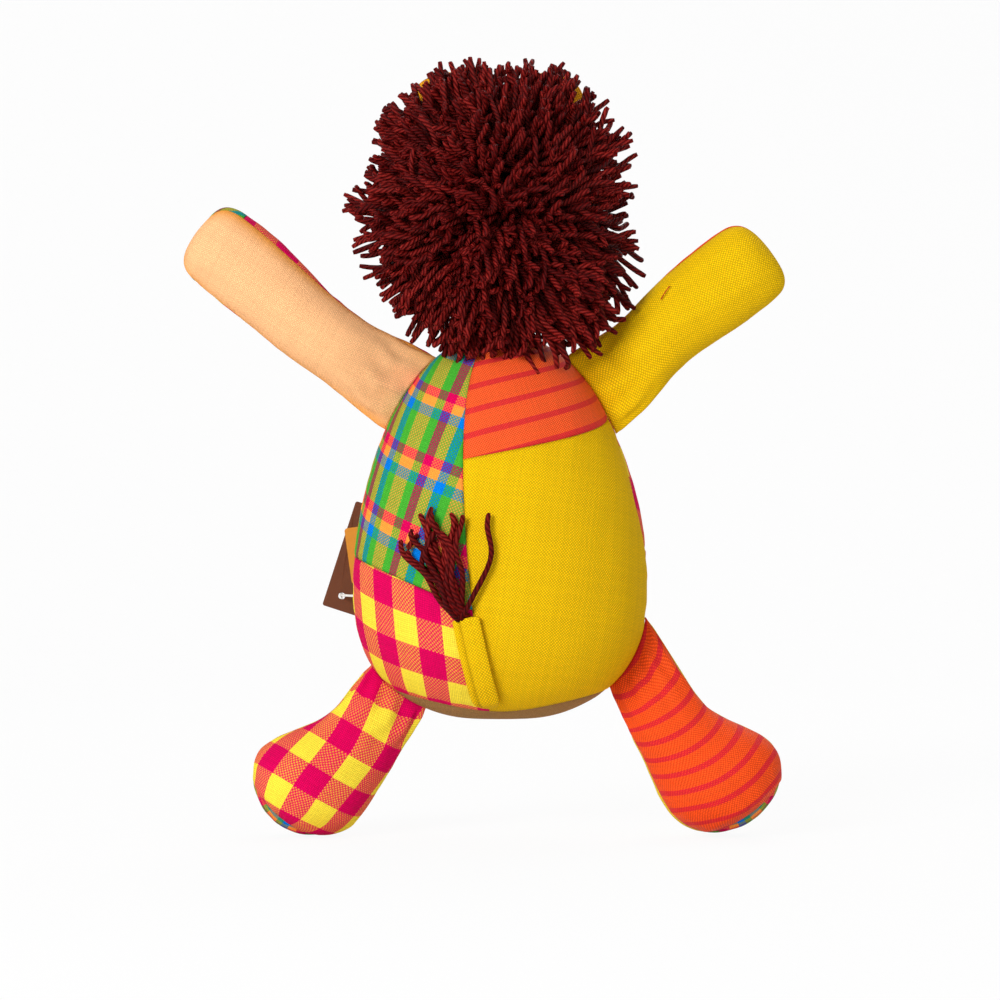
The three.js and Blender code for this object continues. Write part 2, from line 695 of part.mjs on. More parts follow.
function makeLeg(side, size) {
  const leg = limbAtSide(side, size.rootZ, size.angle, size.length);
  const footAt = size.length - size.footBack;
  const widths = [
    [0, size.rootHalfWidth],
    [size.shankAt, size.shankHalfWidth],
    [footAt, size.footHalfWidth],
    [size.length, size.soleHalfWidth],
  ];
  const depths = [
    [0, LIMB_ROOT_HALF_DEPTH],
    [size.shankAt, LEG_HALF_DEPTH],
    [footAt, FOOT_HALF_DEPTH],
    [size.length, SOLE_HALF_DEPTH],
  ];
  const forwards = [
    [0, 0],
    [size.shankAt, 0],
    [footAt, FOOT_FORWARD],
    [size.length, FOOT_FORWARD],
  ];
  leg.halfWidth = (s) => through(widths, s);
  leg.halfDepth = (s) => through(depths, s);
  leg.forward = (s) => through(forwards, s);
  leg.sag = () => 0;
  return leg;
}

// A sole is a low dome across the open end of the foot
function legSole(leg) {
  const face = (lift) => (share, turn) => {
    const rim = limbPoint(leg, leg.length, turn, 0, -Infinity);
    const middle = leg.root.clone().addScaledVector(leg.axis, leg.length);
    middle.y += leg.forward(leg.length);
    const dome = SOLE_BULGE * Math.cos((share * Math.PI) / 2);
    const point = middle.lerp(rim, Math.sin((share * Math.PI) / 2));
    point.addScaledVector(leg.axis, SEAM_GAP + dome + lift);
    return point.setZ(Math.max(point.z, STAND_Z + CLOTH - lift));
  };
  return domeSolid(TRIM_RINGS + 1, 4 * LIMB_COLUMNS, face(CLOTH), face(0));
}

function addLegs() {
  const left = makeLeg(-1, {
    rootZ: LEG_LEFT_ROOT_Z,
    angle: LEG_LEFT_ANGLE,
    length: LEG_LEFT_LENGTH,
    rootHalfWidth: LEG_LEFT_ROOT_HALF_WIDTH,
    shankAt: LEG_LEFT_SHANK_AT,
    shankHalfWidth: LEG_LEFT_SHANK_HALF_WIDTH,
    footBack: LEG_LEFT_FOOT_BACK,
    footHalfWidth: LEG_LEFT_FOOT_HALF_WIDTH,
    soleHalfWidth: LEG_LEFT_SOLE_HALF_WIDTH,
  });
  const right = makeLeg(1, {
    rootZ: LEG_RIGHT_ROOT_Z,
    angle: LEG_RIGHT_ANGLE,
    length: LEG_RIGHT_LENGTH,
    rootHalfWidth: LEG_RIGHT_ROOT_HALF_WIDTH,
    shankAt: LEG_RIGHT_SHANK_AT,
    shankHalfWidth: LEG_RIGHT_SHANK_HALF_WIDTH,
    footBack: LEG_RIGHT_FOOT_BACK,
    footHalfWidth: LEG_RIGHT_FOOT_HALF_WIDTH,
    soleHalfWidth: LEG_RIGHT_SOLE_HALF_WIDTH,
  });
  const legs = [
    ["leg_left", left, GINGHAM, GINGHAM],
    ["leg_right", right, ORANGE, YELLOW],
  ];
  for (const [name, leg, backColor, frontColor] of legs) {
    const stations = evenStations(0, leg.length, LIMB_ROWS + TIP_ROWS);
    addPiece(`${name}_stuffing`, limbFill(leg, stations.slice(1)), FIBRE, 1);
    addPiece(`${name}_back_panel`, limbPanel(leg, -1, stations), backColor);
    addPiece(`${name}_front_panel`, limbPanel(leg, 1, stations), frontColor);
    addPiece(`${name}_sole`, legSole(leg), PLAID);
  }
}

// Ears: flat pads rooted on the widest line of the head
function addEars() {
  for (const [name, side] of [["ear_left", -1], ["ear_right", 1]]) {
    const axis = V(side * Math.cos(rad(EAR_ANGLE)), 0, Math.sin(rad(EAR_ANGLE)));
    const outline = V(axis.x / HEAD_HALF_WIDTH, 0, axis.z / HEAD_HALF_HEIGHT);
    const root = HEAD.clone().addScaledVector(axis, 1 / outline.length() + EAR_GAP);
    const across = FRONT.clone().cross(axis).multiplyScalar(-side);
    const tip = (s) => Math.max(0, s - EAR_LENGTH / 3) / ((2 * EAR_LENGTH) / 3);
    const widths = [
      [0, EAR_ROOT_HALF_WIDTH],
      [EAR_LENGTH / 3, EAR_HALF_WIDTH],
      [EAR_LENGTH, EAR_HALF_WIDTH],
    ];
    const depths = [
      [0, EAR_ROOT_HALF_DEPTH],
      [EAR_LENGTH / 3, EAR_HALF_DEPTH],
      [EAR_LENGTH, EAR_HALF_DEPTH],
    ];
    const blunt = 1 - EAR_TIP_BLUNT ** 2;
    const ear = { root, axis, rootLine: across, across, length: EAR_LENGTH };
    ear.forward = () => 0;
    ear.sag = () => 0;
    ear.halfWidth = (s) => through(widths, s) * Math.sqrt(1 - blunt * tip(s) ** 2);
    ear.halfDepth = (s) => {
      const full = through(depths, s) * Math.sqrt(Math.max(0, 1 - tip(s) ** 2));
      return Math.max(EAR_ROOT_HALF_DEPTH, full);
    };
    const stations = [0, EAR_LENGTH / 6, EAR_LENGTH / 3, ...tipStations(EAR_LENGTH / 3, EAR_LENGTH)];
    const sides = 2 * LIMB_COLUMNS;
    const rings = stations.map((s) =>
      Array.from({ length: sides }, (_, i) => limbPoint(ear, s, (2 * Math.PI * i) / sides, 0)),
    );
    const last = root.clone().addScaledVector(axis, EAR_LENGTH);
    addPiece(name, loftSolid(rings, root.clone(), last), GOLDEN);
  }
}

// Mane: tufted quarters of a dome, open at the bottom where the head meets the body
function maneRim(turn) {
  const drop = Math.max(0, -Math.sin(turn));
  return rad(MANE_RIM_ANGLE - MANE_RIM_LIFT * drop * drop);
}

function maneOuter(angle, turn, tuft) {
  const drop = Math.max(0, -Math.sin(turn)) * Math.sin(angle);
  const reach = MANE_RADIUS + MANE_DROOP * drop * drop + MANE_TUFT * tuft;
  const flat = V(Math.cos(turn), 0, Math.sin(turn)).multiplyScalar(reach * Math.sin(angle));
  return flat.add(V(HEAD.x, MANE_SHIFT_Y - reach * Math.cos(angle), HEAD.z));
}

function addMane() {
  const quarters = [
    "mane_yarn_upper_right",
    "mane_yarn_upper_left",
    "mane_yarn_lower_left",
    "mane_yarn_lower_right",
  ];
  const whorl = MANE_TIE_RADIUS + SEAM_GAP;
  quarters.forEach((name, q) => {
    const place = (u, v) => {
      const turn = mix((q * Math.PI) / 2, ((q + 1) * Math.PI) / 2, u);
      return [turn, mix(Math.asin(whorl / HEAD_HALF_HEIGHT), maneRim(turn), v)];
    };
    const apart = (point) => {
      const edge = SEAM_GAP / 2;
      const from = V(-Math.sin((q * Math.PI) / 2), 0, Math.cos((q * Math.PI) / 2));
      const to = V(Math.cos((q * Math.PI) / 2), 0, Math.sin((q * Math.PI) / 2));
      return point.addScaledVector(from, edge).addScaledVector(to, edge);
    };
    const outer = (u, v, c, r) => {
      const [turn, angle] = place(u, v);
      const wave = Math.sin(TUFT_WAVE_ACROSS * c + TUFT_WAVE_OUT * r * r + TUFT_WAVE_QUARTER * q);
      const tuft = ((c + r) % 2 ? 1 : 0) * (0.6 + 0.4 * wave);
      const still = u === 0 || u === 1;
      return apart(maneOuter(angle, turn, still ? 0.5 : tuft));
    };
    const inner = (u, v) => {
      const [turn, angle] = place(u, v);
      return apart(headPoint(angle, turn, -1, -MANE_SEAT_GAP));
    };
    addPiece(name, sheetSolid(MANE_ROWS, MANE_COLUMNS, outer, inner), MAROON, 1);
  });
  const tieFoot = HEAD.y - HEAD_HALF_DEPTH - SEAM_GAP / 2 - MANE_SEAT_GAP;
  const tieHead = MANE_SHIFT_Y - MANE_RADIUS;
  const tie = new THREE.LatheGeometry(
    [
      new THREE.Vector2(0, 0),
      new THREE.Vector2(MANE_TIE_RADIUS, 0),
      new THREE.Vector2(MANE_TIE_RADIUS, tieFoot - tieHead - MANE_TIE_RADIUS),
      new THREE.Vector2(MANE_TIE_RADIUS / 2, tieFoot - tieHead),
      new THREE.Vector2(0, tieFoot - tieHead),
    ],
    TRIM_SIDES,
  );
  tie.rotateX(Math.PI);
  tie.translate(HEAD.x, tieFoot, HEAD.z);
  addPiece("mane_tie", tie, MAROON, 1);
}

// Tail: a flat tube lying up the back, with a fan of yarn at its tip
function addTail() {
  const rows = PANEL_ROWS;
  const lift = TAIL_GAP + TAIL_HALF_THICKNESS;
  const place = (t, proud) => {
    const z = mix(TAIL_ROOT_Z, TAIL_TIP_Z, t);
    return torsoPoint(mix(TAIL_ROOT_ANGLE, TAIL_TIP_ANGLE, t), z, proud);
  };
  const rings = evenStations(0, 1, rows).map((t) => {
    const z = mix(TAIL_ROOT_Z, TAIL_TIP_Z, t);
    const normal = torsoNormal(mix(TAIL_ROOT_ANGLE, TAIL_TIP_ANGLE, t), z);
    const step = 0.01;
    const along = place(t + step, lift).sub(place(t - step, lift)).normalize();
    const across = along.clone().cross(normal).normalize();
    return Array.from({ length: 2 * LIMB_COLUMNS }, (_, i) => {
      const turn = (Math.PI * i) / LIMB_COLUMNS;
      const point = place(t, lift).addScaledVector(across, TAIL_HALF_WIDTH * Math.cos(turn));
      return point.addScaledVector(normal, TAIL_HALF_THICKNESS * Math.sin(turn));
    });
  });
  addPiece("tail_tube", loftSolid(rings, place(0, lift), place(1, lift)), MUSTARD);

  const columns = 2 * LIMB_COLUMNS;
  const tuftRootZ = TAIL_TIP_Z + TUFT_ROOT_RISE;
  const face = (thick) => (u, v, c) => {
    const ragged = (c % 2 ? 1 : -1) * TUFT_RAGGED * v;
    const z = mix(tuftRootZ, TUFT_TIP_Z, v) + ragged;
    const spread = mix(TUFT_ROOT_HALF_WIDTH, TUFT_TIP_HALF_WIDTH, v) / (TORSO_HALF_WIDTH * eggShare(z));
    const turn = mix(TAIL_TIP_ANGLE, TUFT_TIP_ANGLE, v) + THREE.MathUtils.radToDeg(spread) * (2 * u - 1);
    const depth = mix(TUFT_THICKNESS, TUFT_TIP_THICKNESS, v) * (0.4 + 0.6 * Math.sin(Math.PI * u));
    return torsoPoint(turn, z, TAIL_GAP + TUFT_LIFT + (thick ? depth : 0));
  };
  addPiece("tail_tuft", sheetSolid(rows, columns, face(true), face(false)), MAROON, 1);
}

// Swing tag: two bare cards and the tie that holds them to the side of the torso
function cardShape(width, height, hole) {
  const shape = new THREE.Shape();
  shape.moveTo(0, 0);
  shape.lineTo(width, 0);
  shape.lineTo(width, height);
  shape.lineTo(0, height);
  shape.closePath();
  if (hole) shape.holes.push(new THREE.Path().absarc(hole.x, hole.y, TAG_HOLE_RADIUS, 0, 2 * Math.PI));
  return new THREE.ExtrudeGeometry(shape, { depth: TAG_CARD, bevelEnabled: false, curveSegments: 8 });
}

function standCard(geometry, x, y, z, tilt) {
  geometry.rotateX(Math.PI / 2);
  geometry.rotateY(rad(tilt));
  geometry.translate(x, y, z);
}

function addTag() {
  const tilt = rad(TAG_TILT);
  const onCard = (right, up) =>
    V(
      TAG_CORNER_X + right * Math.cos(tilt) + up * Math.sin(tilt),
      TAG_Y,
      TAG_CORNER_Z - right * Math.sin(tilt) + up * Math.cos(tilt),
    );
  const hole = new THREE.Vector2(TAG_HOLE_IN, TAG_HOLE_UP);
  const card = cardShape(TAG_WIDTH, TAG_HEIGHT, hole);
  standCard(card, TAG_CORNER_X, TAG_Y, TAG_CORNER_Z, TAG_TILT);
  addPiece("tag_card", card, CARD_BROWN, 0.8);
  const small = onCard(SMALL_CARD_IN, SMALL_CARD_UP);
  const smallY = TAG_Y - TAG_CARD - SEAM_GAP;
  const smallCard = cardShape(SMALL_CARD_WIDTH, SMALL_CARD_HEIGHT);
  standCard(smallCard, small.x, smallY, small.z, SMALL_CARD_TILT);
  addPiece("tag_small_card", smallCard, CARD_ORANGE, 0.8);

  const eye = onCard(TAG_HOLE_IN, TAG_HOLE_UP);
  const bar = TAG_Y + SEAM_GAP + TIE_RADIUS;
  const anchor = torsoPoint(TIE_ANCHOR_ANGLE, eye.z, TIE_GAP);
  const lead = torsoPoint(TIE_ANCHOR_ANGLE, eye.z, TIE_GAP + TIE_REACH);
  const route = new THREE.CatmullRomCurve3([
    V(eye.x, bar, eye.z),
    V(eye.x, bar - TIE_REACH, eye.z),
    lead,
    anchor,
  ]);
  const section = new THREE.Shape().absarc(0, 0, TIE_RADIUS, 0, 2 * Math.PI);
  const thread = new THREE.ExtrudeGeometry(section, { steps: 14, extrudePath: route, curveSegments: 6 });
  const crossbar = new THREE.ExtrudeGeometry(section, {
    depth: 2 * TIE_BAR_HALF_LENGTH,
    bevelEnabled: false,
    curveSegments: 6,
  });
  crossbar.translate(eye.x, bar, eye.z - TIE_BAR_HALF_LENGTH);
  addPiece("tag_fastener", fromManifold(welded(thread).add(welded(crossbar))), CLEAR_WHITE, 0.4);
}

addTorso();
addSeat();
addNeck();
addHead();
addFace();
addEars();
addMane();
addArms();
addLegs();
addTail();
addTag();

export default lion;
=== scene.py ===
"""Patchwork plush lion: cloth, stuffing, yarn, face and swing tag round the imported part."""
import math
import random

import bmesh
import bpy
from bpy.props import FloatProperty, FloatVectorProperty, IntProperty, PointerProperty
from mathutils import Matrix, Vector, noise


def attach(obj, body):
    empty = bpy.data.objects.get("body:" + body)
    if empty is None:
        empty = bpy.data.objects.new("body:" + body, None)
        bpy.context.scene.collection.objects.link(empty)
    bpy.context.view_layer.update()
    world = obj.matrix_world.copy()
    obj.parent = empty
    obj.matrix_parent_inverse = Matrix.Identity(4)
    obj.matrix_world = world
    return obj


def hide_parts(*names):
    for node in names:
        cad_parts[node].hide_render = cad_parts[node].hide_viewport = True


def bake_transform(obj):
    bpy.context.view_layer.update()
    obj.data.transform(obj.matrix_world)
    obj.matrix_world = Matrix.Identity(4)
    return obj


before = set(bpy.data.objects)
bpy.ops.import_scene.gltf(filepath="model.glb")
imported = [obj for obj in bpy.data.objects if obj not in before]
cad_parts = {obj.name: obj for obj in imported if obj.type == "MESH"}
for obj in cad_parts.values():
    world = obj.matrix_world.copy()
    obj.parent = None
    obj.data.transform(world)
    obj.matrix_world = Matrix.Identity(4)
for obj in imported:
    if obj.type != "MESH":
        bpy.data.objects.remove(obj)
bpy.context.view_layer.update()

bl_info = {
    "name": "Patchwork lion",
    "version": (1, 0, 0),
    "blender": (4, 5, 0),
    "location": "View3D > Sidebar > Lion",
    "description": "Sews, stuffs and tufts a patchwork toy lion round its packed part",
    "category": "Add Mesh",
}

MM = 0.001


def screen(*shown):
    """A colour as seen on screen, 0 to 255, as the linear values that a shader takes."""
    return tuple(
        c / 255 / 12.92 if c <= 10 else ((c / 255 + 0.055) / 1.055) ** 2.4 for c in shown
    )


def swatch(label, about, *shown):
    """A cloth, yarn or card colour that a user may change."""
    return FloatVectorProperty(
        name=label, description=about, subtype="COLOR", size=3, min=0, max=1,
        default=screen(*shown),
    )


def length(label, about, millimetres):
    """A length that a user may change, kept in metres."""
    return FloatProperty(
        name=label, description=about, unit="LENGTH", precision=5, min=0,
        default=millimetres * MM,
    )


class LionSizes(bpy.types.PropertyGroup):
    """Sizes of the cloth, seams and yarn."""

    cloth: length("Cloth", "Thickness of the cotton cloth", 0.8)
    groove: length("Seam groove", "How far the cloth draws in at a sewn seam", 0.5)
    pucker: length("Seam pucker", "Height of the small puckers beside a seam", 0.5)
    thread: length("Thread pitch", "Distance from thread to thread in the weave", 0.6)
    gingham: length("Gingham square", "Side of one gingham square", 11.4)
    torso_stripe: length("Torso stripe pitch", "From stripe to stripe on the torso", 10.2)
    leg_stripe: length("Leg stripe pitch", "From stripe to stripe on the striped leg", 6.6)
    yarn: length("Yarn", "Thickness of the mane's plied yarn", 2.25)
    mane_reach: length("Mane reach", "From the mane's middle to the strands' cut ends", 52)
    mane_ragged: length("Mane raggedness", "How unevenly the strands are cut", 7)
    mane_strands: IntProperty(
        name="Mane strands", description="Strands of yarn all over the mane", min=100, default=1900
    )


class LionColours(bpy.types.PropertyGroup):
    """Colours of the threads, yarns and cards, and of the painted shade on the peach and the
    painted highlight on the yarn.
    """

    mustard: swatch("Mustard", "Mustard cotton", 231, 185, 10)
    orange: swatch("Orange", "Orange cotton under the stripes", 250, 74, 16)
    stripe: swatch("Stripe", "Dark red stripe threads", 206, 20, 44)
    rust: swatch("Rust", "Rust orange cotton", 217, 96, 31)
    peach: swatch("Peach", "Peach cotton twill", 247, 186, 132)
    # Painted shade: the amber that the peach deepens to along its seams.
    amber_edge_shade: swatch("Amber", "Peach cotton along its seams", 250, 158, 44)
    yellow: swatch("Yellow", "Yellow cotton", 246, 206, 52)
    golden: swatch("Golden", "Golden cotton of the head and ears", 246, 164, 32)
    tan: swatch("Tan", "Tan seat cotton", 165, 125, 75)
    magenta: swatch("Magenta", "Magenta threads of the gingham and plaid", 220, 2, 106)
    lemon: swatch("Lemon", "Lemon threads of the gingham", 244, 226, 82)
    green: swatch("Green", "Green threads of the plaid", 88, 184, 66)
    gold: swatch("Gold", "Gold threads of the plaid", 255, 170, 78)
    blue: swatch("Blue", "Blue threads of the plaid", 0, 142, 228)
    # Painted highlight: the colour put on the yarn's lit ply crests.
    fuzz: swatch("Fuzz", "Fuzz on the maroon yarn", 168, 62, 50)
    maroon: swatch("Maroon", "Maroon yarn", 88, 4, 5)
    fibre: swatch("Fibre", "Stuffing fibre", 243, 240, 232)
    brown_card: swatch("Brown card", "Swing tag card", 112, 58, 28)
    orange_card: swatch("Orange card", "Small tag card", 226, 146, 42)


def sizes():
    return bpy.context.scene.lion_sizes


def colours():
    return bpy.context.scene.lion_colours


def seam_sizes():
    """The groove and the pucker of a seam, in millimetres."""
    return sizes().groove / MM, sizes().pucker / MM


# The part's own sizes, in millimetres and degrees
TORSO_HALF_WIDTH, TORSO_HALF_DEPTH = 59, 50
BULGE_Z, COLLAR_Z = 55, 150
UPPER_HEIGHT, LOWER_HEIGHT = 100, 58
UPPER_POWER, LOWER_POWER = 1.8, 2.6
SEAM_GAP = 0.3
CLOTH_GAP = 0.04
NECK_RADIUS = 12
NECK_PIVOT = Vector((0, 0, 152.2))
HEAD = Vector((-1, 12, 200.2))
HEAD_HALF = Vector((43, 38, 42))
MUZZLE_HALF, MUZZLE_DROP, MUZZLE_BULGE = (17, 13), 13, 9
EAR_ANGLE, EAR_REACH, EAR_BASE = 65, 21, 7
MANE_MIDDLE = Vector((-1, 2, 200.2))
ARM_ROOT_Z, ARM_TIP, ARM_PAW = 131, 16, 12
LEG_DEPTHS, LEG_FORWARDS = (1.3, 12, 19, 17), (0, 0, -2, -2)
SOLE_DOME, SOLE_REACH = 7, 18
TAIL_TURN, TAIL_Z = (-7, -12.8), (5.5, 42)
TAIL_LIFT, TAIL_HALF_WIDTH, TAIL_HALF_DEPTH = 2.1, 5.5, 1.7
TAG_CORNER, TAG_TILT = Vector((-73.2, 44, 44)), 18
CARD, SMALL_CARD = (28, 45), (13, 23)
STAND_Z = -47.2
FLOOR = STAND_Z + 0.4
FRONT = Vector((0, 1, 0))

# The stage's sizes, in metres and millimetres of lens, and the share of light from all round
FLOOR_WIDTH, FLOOR_NEAR, FLOOR_FAR, FLOOR_BEND, WALL_HEIGHT = 9, -3, 1.2, 0.6, 2.5
LENS, SENSOR, VIEW_WIDTH, VIEW_Z = 135, 36, 0.4, 0.0872
AMBIENT = 0.46
MANE_SEED, TUFT_SEED = 1177, 54


def mix(a, b, share):
    return a + (b - a) * share


def ease(share):
    share = min(max(share, 0), 1)
    return share * share * (3 - 2 * share)


def steady(value):
    """A function that gives the same value everywhere."""
    return lambda _: value


def bump(distance, width):
    """1 on a line and fading over a width to each side of it."""
    return math.exp(-((distance / width) ** 2))


def lump(point, size, seed=0):
    """Smooth unevenness from -1 to 1, of about that size."""
    return noise.noise(Vector((point[0] / size + 13.7 * seed, point[1] / size, point[2] / size)))


def ripple(at, distance, reach):
    """Puckers that rise beside a seam and die out over a reach."""
    fade = math.exp(-distance / reach) * (1 - math.exp(-distance / 1.2))
    return noise.noise(Vector(at)) * fade


def through(stations, at):
    """A smooth value through stations of place and value."""
    last = len(stations) - 1
    k = 0
    while k < last - 1 and at > stations[k + 1][0]:
        k += 1

    def slope(i):
        a, b = stations[max(i - 1, 0)], stations[min(i + 1, last)]
        return (b[1] - a[1]) / (b[0] - a[0])

    (x0, y0), (x1, y1) = stations[k], stations[k + 1]
    h = x1 - x0
    t = min(max((at - x0) / h, 0), 1)
    rise = h * slope(k) * t * (1 - t) ** 2 - h * slope(k + 1) * t * t * (1 - t)
    return mix(y0, y1, ease(t)) + rise


# Meshes


def lay_cloth(bm, place):
    """Moves each corner to its place: a point, its cut on the fabric and its nearness to a seam."""
    seam = bm.verts.layers.float.new("seam")
    cut = bm.loops.layers.uv.new("fabric")
    flat = {}
    for v in bm.verts:
        point, flat[v], v[seam] = place(v)
        v.co = Vector(point) * MM
    for face in bm.faces:
        face.smooth = True
        for loop in face.loops:
            loop[cut].uv = flat[loop.vert]
    return bm


def cloth_grid(columns, rows, place, middle):
    """An open cloth whose corners are placed by place(u, v), facing away from a middle point."""
    bm = bmesh.new()
    bmesh.ops.create_grid(bm, x_segments=columns, y_segments=rows, size=0.5)
    face_out(lay_cloth(bm, lambda v: place(v.co.x + 0.5, v.co.y + 0.5)), middle)
    return bm


def ball(columns, rows, place):
    """A round closed pad: a sphere whose corners are placed by place(direction)."""
    bm = bmesh.new()
    bmesh.ops.create_uvsphere(bm, u_segments=columns, v_segments=rows, radius=1)
    lay_cloth(bm, lambda v: place(v.co.copy()))
    if bm.calc_volume(signed=True) < 0:
        bmesh.ops.reverse_faces(bm, faces=bm.faces)
    return bm


def disc(u, v):
    """A square's (u, v) on a round disc: x and y from -1 to 1, and the share of the way out."""
    x, y = 2 * u - 1, 2 * v - 1
    x, y = x * math.sqrt(1 - y * y / 2), y * math.sqrt(1 - x * x / 2)
    return x, y, min(math.hypot(x, y), 1)


def round_way(d):
    """A direction seen along z, or nothing at the poles."""
    flat = d.to_2d()
    return flat.normalized() if flat.length > 1e-6 else Vector((0, 0))


def face_out(bm, middle):
    """Turns an open sheet so that its faces look away from a middle point."""
    bm.normal_update()
    middle = Vector(middle) * MM
    if sum(f.normal.dot(f.calc_center_median() - middle) * f.calc_area() for f in bm.faces) < 0:
        bmesh.ops.reverse_faces(bm, faces=bm.faces)


def add_object(bm, name, material, prefix=""):
    mesh = bpy.data.meshes.new(name)
    bm.to_mesh(mesh)
    bm.free()
    mesh.materials.append(material)
    made = bpy.data.objects.new(prefix + name, mesh)
    bpy.context.scene.collection.objects.link(made)
    return made


def finish_piece(bm, name, material, slot, body=None, thick=0, bend=None, trim=False):
    """Makes the object, gives it its finish and ties it to the part, or, given a bend, leaves it
    untied where it is. Trim replaces no node.
    """
    bmesh.ops.remove_doubles(bm, verts=bm.verts, dist=1e-7)
    piece = add_object(bm, name, material, "lion_")
    if bend:
        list(bend)
        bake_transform(piece)
    else:
        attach(piece, body)
    if thick:
        wall = piece.modifiers.new("Cloth", "SOLIDIFY")
        wall.thickness = thick
        wall.offset = -1
    if not trim:
        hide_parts(name)


# Shader groups


class Tree:
    """Adds and joins nodes in one node tree."""

    def __init__(self, tree):
        self.tree = tree
        self.count = 0

    def put(self, socket, value):
        """Links an input to another node's output, or sets its value."""
        if isinstance(value, bpy.types.NodeSocket):
            self.tree.links.new(value, socket)
        elif socket.type == "RGBA" and len(value) == 3:
            socket.default_value = (*value, 1)
        else:
            socket.default_value = value

    def add(self, kind, settings=None, **inputs):
        """Adds a shader node, with its inputs by name, or by number as i0, i1 and so on."""
        made = self.tree.nodes.new("ShaderNode" + kind)
        made.location = (220 * (self.count % 8), -260 * (self.count // 8))
        self.count += 1
        for key, value in (settings or {}).items():
            setattr(made, key, value)
        for key, value in inputs.items():
            at = int(key[1:]) if key[1:].isdigit() else key.replace("_", " ")
            self.put(made.inputs[at], value)
        return made

    def math(self, operation, a, b=0.0, c=0.0):
        return self.add("Math", {"operation": operation}, i0=a, i1=b, i2=c).outputs[0]

    def times(self, a, b):
        return self.math("MULTIPLY", a, b)

    def fit(self, value, scale, shift):
        """A value scaled, then shifted."""
        return self.math("MULTIPLY_ADD", value, scale, shift)

    def blend(self, share, a, b, way="MIX"):
        settings = {"data_type": "RGBA", "blend_type": way}
        return self.add("Mix", settings, i0=share, i6=a, i7=b).outputs[2]

    def pick(self, share, a, b):
        return self.add("Mix", {"data_type": "FLOAT"}, i0=share, i2=a, i3=b).outputs[0]

    def split(self, vector):
        return self.add("SeparateXYZ", Vector=vector).outputs

    def grain(self, vector, scale, detail, dimensions="3D"):
        settings = {"noise_dimensions": dimensions}
        made = self.add("TexNoise", settings, Vector=vector, Scale=scale, Detail=detail)
        return made.outputs

    def chance(self, value):
        return self.add("TexWhiteNoise", {"noise_dimensions": "1D"}, W=value).outputs[0]

    def uv(self, name):
        return self.add("UVMap", {"uv_map": name}).outputs[0]

    def attribute(self, name):
        return self.add("Attribute", {"attribute_name": name}).outputs["Fac"]

    def raised(self, height, strength, distance):
        return self.add("Bump", Height=height, Strength=strength, Distance=distance).outputs[0]

    def group(self, group, **inputs):
        return self.add("Group", {"node_tree": group}, **inputs).outputs

    def seen(self):
        """1 where the camera sees a thing itself, in a mirror or through glass."""
        path = self.add("LightPath").outputs
        beyond = self.math("MAXIMUM", path["Is Glossy Ray"], path["Is Transmission Ray"])
        return self.math("MAXIMUM", path["Is Camera Ray"], beyond)


def shader_group(name, inputs, outputs, build):
    """A shader node group, made once: build(tree, inputs) gives its outputs.

    An input is a kind of socket, or the default of a plain value. An output is a kind of socket.
    """
    if name in bpy.data.node_groups:
        return bpy.data.node_groups[name]
    made = bpy.data.node_groups.new(name, "ShaderNodeTree")

    def socket(label, way, kind):
        return made.interface.new_socket(
            name=label, in_out=way, socket_type="NodeSocket" + kind
        )

    for label, kind in inputs.items():
        if isinstance(kind, float):
            socket(label, "INPUT", "Float").default_value = kind
        else:
            socket(label, "INPUT", kind)
    for label, kind in outputs.items():
        socket(label, "OUTPUT", kind)
    tree = Tree(made)
    given = made.nodes.new("NodeGroupInput").outputs
    results = made.nodes.new("NodeGroupOutput").inputs
    for end, value in zip(results, build(tree, given)):
        tree.put(end, value)
    return made


def weave_group():
    """Threads over and under one another, each a little different from the next."""

    def build(t, given):
        fabric = given["Fabric"]
        wander = t.grain(fabric, 0.06, 2.0, "2D")["Color"]
        drift = t.add("VectorMath", {"operation": "SCALE"}, i0=wander, Scale=1.6).outputs[0]
        cut = t.add("VectorMath", {"operation": "ADD"}, i0=fabric, i1=drift).outputs[0]
        u, v = (t.math("DIVIDE", along, given["Pitch"]) for along in t.split(cut)[:2])
        warp, weft = t.math("FLOOR", u), t.math("FLOOR", v)
        step = t.math("FLOORED_MODULO", t.math("ADD", warp, weft), 2.0)
        over = t.math("GREATER_THAN", step, 0.5)
        round_u, round_v = (
            t.math("SINE", t.times(t.math("FRACT", along), math.pi)) for along in (u, v)
        )
        warp_height = t.times(round_u, t.fit(round_v, 0.55, 0.45))
        weft_height = t.times(round_v, t.fit(round_u, 0.55, 0.45))
        tone = t.pick(over, t.chance(t.math("ADD", weft, 57.3)), t.chance(warp))
        slub = t.grain(fabric, 0.9, 3.0, "2D")[0]
        uneven = t.fit(slub, 0.6, t.times(tone, 0.4))
        return over, t.pick(over, weft_height, warp_height), uneven

    return shader_group(
        "Handwoven threads",
        {"Fabric": "Vector", "Pitch": 0.8},
        {"Warp over": "Float", "Height": "Float", "Tone": "Float"},
        build,
    )


def crossing_group():
    """Colour of crossing threads: the upper one shows most, and the one beneath deepens it, which
    stands for both the threads' mixed colour and painted shade where they cross.
    """

    def build(t, given):
        seen = [
            t.add("Gamma", Color=given[key], Gamma=1 / 2.2).outputs[0] for key in ("Weft", "Warp")
        ]
        mixed = t.blend(t.fit(given["Warp over"], 0.82, 0.16), *seen)
        # Painted shade in part: a share of the multiplied colours deepens the mix where the threads
        # cross.
        deep = t.blend(0.34, mixed, t.blend(1.0, *seen, "MULTIPLY"))
        return (t.add("Gamma", Color=deep, Gamma=2.2).outputs[0],)

    inputs = {"Warp": "Color", "Weft": "Color", "Warp over": 0.5}
    return shader_group("Crossing threads", inputs, {"Colour": "Color"}, build)


